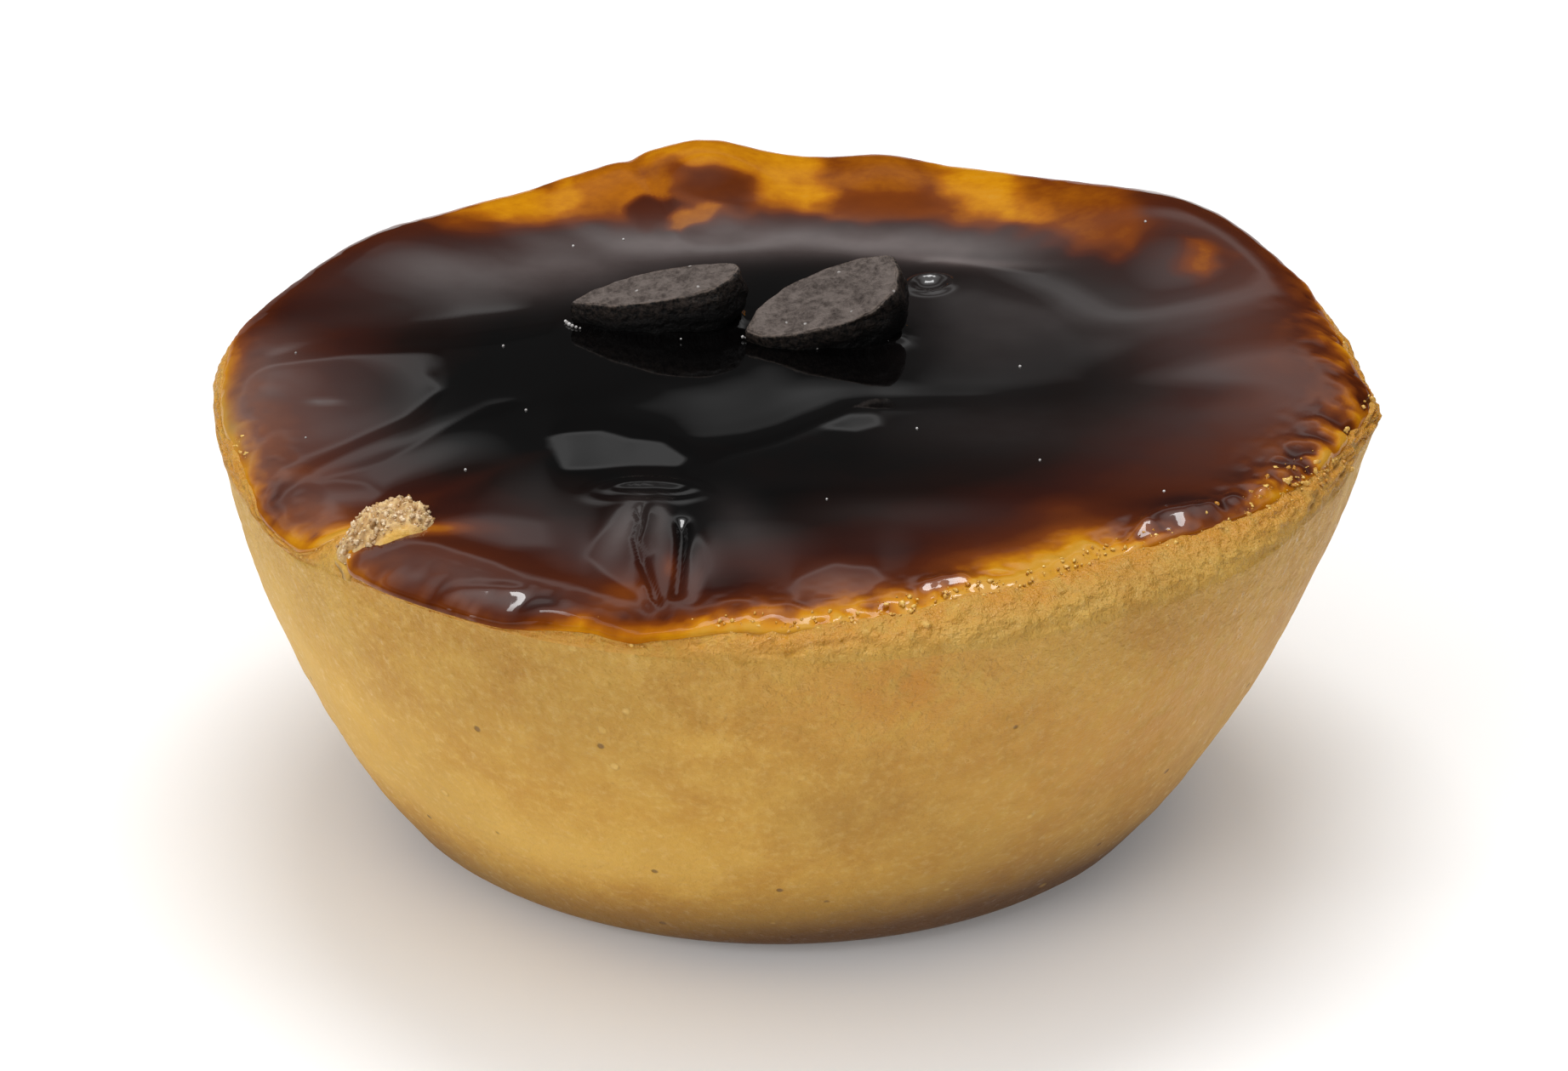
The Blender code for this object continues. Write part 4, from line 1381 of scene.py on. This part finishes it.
@dataclass
class ChocolatePiece:
    """A chunk of chocolate: a wedge-shaped broken face over steep sides, sunk in the glaze."""

    name: str
    corners: Points
    depth: float
    place: tuple[float, float, float]
    turns: tuple[float, float, float]
    seed: int
    waist: float = 0.05
    foot: float = 0.25

    def outline(self, count: int) -> Array:
        """The face's outline: its corners joined and rounded, with small nicks."""
        closed = np.array(self.corners + self.corners[:1])
        lengths = np.concatenate(([0.0], np.cumsum(np.hypot(*np.diff(closed, axis=0).T))))
        at = np.linspace(0.0, lengths[-1], count, endpoint=False)
        points = np.column_stack([np.interp(at, lengths, closed[:, axis]) for axis in (0, 1)])
        for _ in range(max(count // 40, 1)):
            points = (np.roll(points, 1, 0) + 2.0 * points + np.roll(points, -1, 0)) / 4.0
        share = at / lengths[-1]
        nicks = 0.018 * lattice_noise(share * 16.0, 0.0 * at, self.seed, 16)
        nicks = nicks + 0.012 * lattice_noise(share * 45.0, 0.0 * at, self.seed + 5, 45)
        return points * (1.0 + nicks[:, None])

    def settle(self, points: Array) -> Array:
        """Turns points about X, then Y, then Z, and moves them to the piece's place."""
        rx, ry, rz = (math.radians(angle) for angle in self.turns)
        about_x = np.array([[1, 0, 0], [0, math.cos(rx), -math.sin(rx)], [0, math.sin(rx), math.cos(rx)]])
        about_y = np.array([[math.cos(ry), 0, math.sin(ry)], [0, 1, 0], [-math.sin(ry), 0, math.cos(ry)]])
        about_z = np.array([[math.cos(rz), -math.sin(rz), 0], [math.sin(rz), math.cos(rz), 0], [0, 0, 1]])
        return points @ (about_z @ about_y @ about_x).T + np.array(self.place)

    def footprint(self) -> Points:
        """The outline where the piece enters the glaze."""
        flat = self.outline(24) * (1.0 + 0.9 * self.waist - 0.1 * self.foot)
        low = self.settle(np.column_stack((flat, np.full(len(flat), -0.5 * self.depth))))
        return tuple((float(x), float(y)) for x, y, _ in low)

    def build(self, finish: bpy.types.Material) -> bpy.types.Object:
        """Makes the mesh.

        Args:
            finish: the chocolate's material.

        Returns:
            The object, with a face attribute of 1 on the cut face, and others at its rim and shoulder.
        """
        flat = self.outline(150)
        turn = np.linspace(0.0, 2.0 * math.pi, len(flat), endpoint=False)
        stack = RingStack("face", "rim", "shoulder")
        stack.add(self.settle(np.array([[0.0, 0.0, -self.depth]])))
        size = np.maximum(np.hypot(*flat.T)[:, None], 1.0)
        for down in np.concatenate((np.linspace(1.0, 0.06, 34), [0.04, 0.022, 0.01, 0.0])):
            spread = 1.0 + self.waist * math.sin(math.pi * down) - self.foot * down**4
            spread = spread * (1.0 - 0.035 * (1.0 - min(down / 0.05, 1.0)) ** 2)
            chips = 0.10 * lattice_noise(turn * 3.0 + 20.0, 0.0 * turn + down * 5.0, self.seed + 1)
            chips = chips + 0.05 * lattice_noise(turn * 9.0 + 20.0, 0.0 * turn + down * 14.0, self.seed + 2)
            ring = flat * (spread + (chips * smooth(down, 0.0, 0.1))[:, None] / size)
            ring = np.column_stack((ring, np.full(len(flat), -self.depth * down * 0.96)))
            shoulder = smooth(-down, -0.42, -0.05)
            stack.add(self.settle(ring), face=float(down < 0.015), rim=float(down < 0.03), shoulder=shoulder)
        for share in np.linspace(0.965, 0.03, 42):
            x, y = (flat * share).T
            rough = 0.22 * mottling(x, y, (1.3, 0.7), self.seed + 3, 30.0)
            rough = (rough + 0.14 * mottling(x, y, (0.4, 0.3), self.seed + 4, 30.0)) * (1.0 - share**5)
            ring = np.column_stack((x, y, rough))
            stack.add(self.settle(ring), face=1.0, rim=smooth(share, 0.9, 0.97), shoulder=1.0)
        stack.add(self.settle(np.array([[0.0, 0.0, 0.0]])), face=1.0, shoulder=1.0)
        return stack.piece(self.name, finish)


# Bubbles and sugar grains on the glaze, pale as their own painted glints, and painted glints along the
# chunks' wet waterline, as rows of pale balls: x, y, radius, height over the glaze
SPECKS: tuple[tuple[float, float, float, float], ...] = (
    (-17.6, 3.2, 0.09, 0.0), (-15.7, -6.6, 0.09, 0.0), (-18.8, -14.8, 0.09, 0.0), (7.6, -8.1, 0.08, 0.0),
    (14.1, 1.3, 0.10, 0.0), (14.7, -12.7, 0.08, 0.0), (2.2, -18.6, 0.07, 0.0), (21.6, -17.9, 0.09, 0.0),
    (22.7, 17.8, 0.09, 0.0), (-14.0, 19.5, 0.09, 0.0), (-28.5, -10.3, 0.07, 0.0), (-10.8, 20.6, 0.08, 0.0),
    (-29.9, -1.2, 0.08, 0.0), (-13.95, 7.2, 0.10, 0.1), (-13.85, 6.95, 0.13, 0.1), (-13.7, 6.7, 0.13, 0.1),
    (-13.5, 6.45, 0.12, 0.1), (-13.25, 6.25, 0.10, 0.1), (-13.0, 6.1, 0.07, 0.1), (-6.7, 4.2, 0.06, 0.2),
    (-2.9, 4.6, 0.10, 0.2), (-2.7, 4.5, 0.08, 0.2), (-0.9, 3.9, 0.10, 0.1), (-0.7, 3.85, 0.07, 0.1),
    (1.7, 3.0, 0.08, 0.2), (6.1, 4.2, 0.09, 0.2), (6.3, 4.3, 0.06, 0.2),
)


class Scatter(Enum):
    """Where grains lie."""

    BORDER = "along the border of the glaze"
    RIDGE = "on the crumbly ridge"
    RIM = "in clusters on the right of the rim"
    # pale balls that paint small glints on the glaze and at the chunks
    SPECKS = "as bubbles and sugar dust on the glaze"


@dataclass
class Grains:
    """Many small lumps of one kind, joined into one piece."""

    name: str
    form: Form
    relief: Relief
    where: Scatter
    count: int
    sizes: tuple[float, float]
    seed: int
    ridge: CrumbRidge | None = None

    def spots(self, rng: np.random.Generator) -> tuple[Array, Array, Array]:
        """Azimuth, distance s and size of each grain.

        Args:
            rng: the piece's random numbers.

        Returns:
            Three arrays of count numbers.
        """
        n = self.count
        low, high = self.sizes
        size = low + (high - low) * rng.random(n) ** 2.5
        if self.where is Scatter.BORDER:
            azimuth = rng.uniform(-165.0, -20.0, n)
            s = self.form.border(azimuth) + rng.normal(-0.5, 0.4, n)
        elif self.where is Scatter.RIDGE:
            tries = rng.uniform((-26.0, -25.5), (-19.5, -17.4), (n * 6, 2))
            inside = depth_inside(tries[:, 0], tries[:, 1], self.ridge.corners) > 0.2
            kept = tries[inside & (self.ridge.open_part(tries[:, 0], tries[:, 1]) > 0.5)][:n]
            azimuth, s, _ = self.form.top_at(kept[:, 0], kept[:, 1])
            size = size[: len(kept)]
        elif self.where is Scatter.RIM:
            middles = np.array([7.0, -4.0, -9.0, -16.0, -26.0, -32.0, -34.0, -22.0, -20.0])
            azimuth = middles[rng.integers(0, len(middles), n)] + rng.normal(0.0, 2.0, n)
            s = self.form.border(azimuth) + rng.normal(-0.1, 0.7, n)
        else:
            known = np.array(SPECKS)
            azimuth, s, _ = self.form.top_at(known[:, 0], known[:, 1])
            size = known[:, 2]
        return azimuth, s, size

    def build(self, finish: bpy.types.Material, sink: float) -> bpy.types.Object:
        """Makes the joined mesh.

        Each grain is a small ball whose points are pushed in and out at random, squashed, turned about
        the upright and set on the surface.

        Args:
            finish: the grains' material.
            sink: how deep a grain sits; its middle is (0.7 - sink) of its radius over the surface.

        Returns:
            The object, with a tone attribute for each grain.
        """
        rng = np.random.default_rng(self.seed)
        ball = bmesh.new()
        bmesh.ops.create_icosphere(ball, subdivisions=2, radius=1.0)
        shape = np.array([vertex.co[:] for vertex in ball.verts])
        faces = np.array([[vertex.index for vertex in face.verts] for face in ball.faces])
        ball.free()
        azimuth, s, size = self.spots(rng)
        n = len(size)
        lumpy = 1.0 + rng.uniform(-0.4, 0.4, (n, len(shape), 1)) * (self.where is not Scatter.SPECKS)
        squash = rng.uniform(0.45, 1.0, (n, 1, 3)) if self.where is not Scatter.SPECKS else np.ones((n, 1, 3))
        points = shape[None] * lumpy * squash * size[:, None, None]
        turn = rng.uniform(0.0, 2.0 * math.pi, n)[:, None]
        x = points[..., 0] * np.cos(turn) - points[..., 1] * np.sin(turn)
        y = points[..., 0] * np.sin(turn) + points[..., 1] * np.cos(turn)
        flat = self.form.skin(azimuth, s, 0.0 * s)
        out = (self.relief.at(flat[:, 0], flat[:, 1]) + 0.2) * smooth(self.form.border(azimuth) - s, 0.0, 1.0)
        if self.where is Scatter.RIDGE:
            out = self.ridge.top(flat[:, 0], flat[:, 1]) - flat[:, 2]
        if self.where is Scatter.SPECKS:
            out = out + np.array(SPECKS)[:, 3]
        place = self.form.skin(azimuth, s, out + size * (0.7 - sink))
        points = np.stack((x, y, points[..., 2]), -1) + place[:, None, :]
        index = (faces[None] + (np.arange(n) * len(shape))[:, None, None]).reshape(-1, 3)
        thing = make_piece(self.name, points.reshape(-1, 3), np.zeros((0, 4), int), [index], finish)
        add_attribute(thing, "tone", np.repeat(rng.random(n), len(shape)))
        return thing


# The studio


def stand(name: str, data: Any, target: Vector, away: Vector, distance: float) -> bpy.types.Object:
    """Adds a light or camera that looks at the target from a way off."""
    thing = bpy.data.objects.new(name, data)
    thing.location = target + away * distance
    thing.rotation_mode = "QUATERNION"
    thing.rotation_quaternion = away.to_track_quat("Z", "Y")
    bpy.context.scene.collection.objects.link(thing)
    return thing


@dataclass(frozen=True)
class Softbox:
    """A rectangular light that faces the tart: its place in degrees and metres, its size and its radiance."""

    name: str
    azimuth: float
    elevation: float
    distance: float
    width: float
    height: float
    radiance: float

    def build(self, target: Vector) -> None:
        """Adds the light, with the power that gives its radiance: L * pi * width * height."""
        a, e = math.radians(self.azimuth), math.radians(self.elevation)
        away = Vector((math.cos(a) * math.cos(e), math.sin(a) * math.cos(e), math.sin(e)))
        data = bpy.data.lights.new(self.name, "AREA")
        data.shape = "RECTANGLE"
        data.size = self.width
        data.size_y = self.height
        data.energy = self.radiance * math.pi * self.width * self.height
        stand(self.name, data, target, away, self.distance)


@dataclass(frozen=True)
class Studio:
    """A pale table under a soft dome, with a camera at the photograph's angle."""

    target: tuple[float, float, float] = (-0.24 * MM, 0.0, 16.35 * MM)
    distance: float = 0.3
    elevation: float = 25.0
    roll: float = 0.5
    lens: float = 111.34
    dome: tuple[tuple[float, float], ...] = (
        (0.000, 0.02), (0.340, 0.03), (0.430, 0.05), (0.490, 0.20), (0.550, 0.50), (0.600, 0.54),
        (0.660, 0.25), (0.740, 0.20), (0.820, 0.90), (0.910, 1.60), (1.000, 1.90),
    )
    beyond: Colour = (0.62, 0.62, 0.62)
    table_half: float = 1500.0
    # azimuth and elevation in degrees; distance, width and height in metres; radiance
    softboxes: tuple[Softbox, ...] = (
        Softbox("key_above", 90.0, 74.0, 0.6, 0.32, 0.13, 11.0),
        Softbox("front_left", -132.0, 26.0, 0.55, 0.30, 0.30, 3.5),
        Softbox("front_right", -55.0, 18.0, 0.6, 0.25, 0.25, 0.8),
    )

    def camera(self) -> None:
        """Adds the camera."""
        e = math.radians(self.elevation)
        away = Vector((0.0, -math.cos(e), math.sin(e)))
        data = bpy.data.cameras.new("photo_camera")
        data.lens = self.lens
        data.sensor_width = 36.0
        data.clip_start = 0.01
        thing = stand("photo_camera", data, Vector(self.target), away, self.distance)
        thing.rotation_quaternion @= Quaternion((0.0, 0.0, 1.0), math.radians(self.roll))
        bpy.context.scene.camera = thing

    def sky(self) -> None:
        """Lights the scene by a dome that is dim near the horizon and bright overhead."""
        world = bpy.data.worlds.new("soft_dome")
        bpy.context.scene.world = world
        graph = Graph(world)
        peak = max(level for _, level in self.dome)
        stops = [(z, (level / peak,) * 3) for z, level in self.dome]
        way = graph.node("ShaderNodeTexCoord").outputs["Generated"]
        up = graph.value("ShaderNodeSeparateXYZ", None, {0: way}, "Z")
        seen = graph.value("ShaderNodeLightPath", None, {}, "Is Camera Ray")
        back = graph.tree.nodes["Background"]
        graph.feed(back.inputs["Color"], graph.mix(seen, graph.ramp(up, stops), self.beyond))
        graph.feed(back.inputs["Strength"], peak)

    def table(self) -> None:
        """Adds the floor that the tart stands on."""
        count = 9
        steps = np.linspace(-self.table_half, self.table_half, count)
        y, x = np.meshgrid(steps, steps, indexing="ij")
        points = np.column_stack((x.ravel(), y.ravel(), np.zeros(x.size)))
        cells = np.arange(count - 1)
        low = (cells[:, None] * count + cells[None, :]).ravel()
        quads = np.stack((low, low + 1, low + count + 1, low + count), -1)
        make_piece("table_top", points, quads, [], FloorFinish().material())

    def build(self) -> None:
        """Adds the camera, the dome, the softboxes and the table."""
        self.camera()
        self.sky()
        self.table()
        for softbox in self.softboxes:
            softbox.build(Vector(self.target))
        bpy.context.scene.view_settings.view_transform = "Standard"


@dataclass
class Queijada:
    """The whole tart."""

    form: Form = field(default_factory=Form)

    def build(self) -> list[bpy.types.Object]:
        """Builds every piece, sets it on its body and hides the parts of model.glb that the pieces replace.

        Returns:
            The pieces.
        """
        form = self.form
        relief = Relief()
        chocolate = ChocolateFinish().material()
        chunks = [
            ChocolatePiece(
                "chocolate_chunk_left",
                (
                    (-5.45, -0.3), (-4.3, 0.9), (-2.4, 1.8), (0.0, 2.3), (2.5, 2.2), (4.9, 1.4),
                    (5.1, 0.6), (4.7, -0.8), (3.6, -2.0), (2.0, -2.5), (-0.5, -2.5), (-3.0, -1.9),
                ),
                depth=3.9,
                place=(-8.2, 7.5, 29.95),
                turns=(2.0, -11.0, 0.0),
                seed=41,
            ),
            ChocolatePiece(
                "chocolate_chunk_right",
                (
                    (-5.6, -0.9), (-4.6, 0.8), (-2.6, 1.9), (0.0, 2.5), (2.6, 2.5), (4.2, 1.9),
                    (4.5, 0.4), (4.0, -1.4), (2.4, -2.6), (0.2, -2.95), (-2.6, -2.7), (-4.8, -2.0),
                ),
                depth=4.3,
                place=(2.5, 5.2, 30.35),
                turns=(20.0, -17.0, 3.0),
                seed=51,
            ),
        ]
        crust = CrustFinish().material()
        cup = BakedBody(form).build(crust)
        glaze = CoffeeGlaze(form, relief, chunks).build(GlazeFinish().material())
        left, right = (chunk.build(chocolate) for chunk in chunks)
        caramel = CrumbFinish("caramel_crumbs", (0.50, 0.20, 0.015), (0.85, 0.56, 0.14), 0.22).material()
        sugar = CrumbFinish("sugar_crumbs", (0.42, 0.23, 0.08), (0.85, 0.66, 0.42), 0.25).material()
        # painted highlights: pale grey balls that stand in for glints of bubbles and at the chunks
        dust_and_glints = CrumbFinish("glaze_bubbles_and_glints", (0.30, 0.28, 0.27), (0.75, 0.73, 0.72), 0.15).material()
        edge = Grains("edge_crumbs", form, relief, Scatter.BORDER, 700, (0.04, 0.20), 61).build(caramel, 0.95)
        lump = CrumbRidge(form)
        crumb = lump.build(crust)
        ridge = Grains(
            "ridge_crumbs", form, relief, Scatter.RIDGE, 360, (0.05, 0.25), 62, lump
        ).build(sugar, 0.85)
        rim = Grains("rim_crumbs", form, relief, Scatter.RIM, 60, (0.08, 0.32), 63).build(caramel, 0.9)
        specks = Grains(
            "glaze_specks", form, relief, Scatter.SPECKS, len(SPECKS), (0.04, 0.09), 64
        ).build(dust_and_glints, 0.5)
        for piece, slot in (
            (cup, "baked_crust"),
            (glaze, "coffee_glaze"),
            (left, "dark_chocolate"),
            (right, "dark_chocolate"),
            (edge, "baked_crust"),
            (crumb, "baked_crust"),
            (ridge, "baked_crust"),
            (rim, "baked_crust"),
            (specks, "coffee_glaze"),
        ):
            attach(piece, "root")
            LOG.info("%s: %d faces", piece.name, len(piece.data.polygons))
        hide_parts("tart_body")
        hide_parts("coffee_glaze")
        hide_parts("chocolate_piece_left")
        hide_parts("chocolate_piece_right")
        return [cup, glaze, left, right, edge, crumb, ridge, rim, specks]


def main() -> None:
    """Builds the studio and the tart."""
    logging.basicConfig(level=logging.INFO, format="%(message)s")
    Studio().build()
    Queijada().build()


if __name__ == "__main__":
    main()
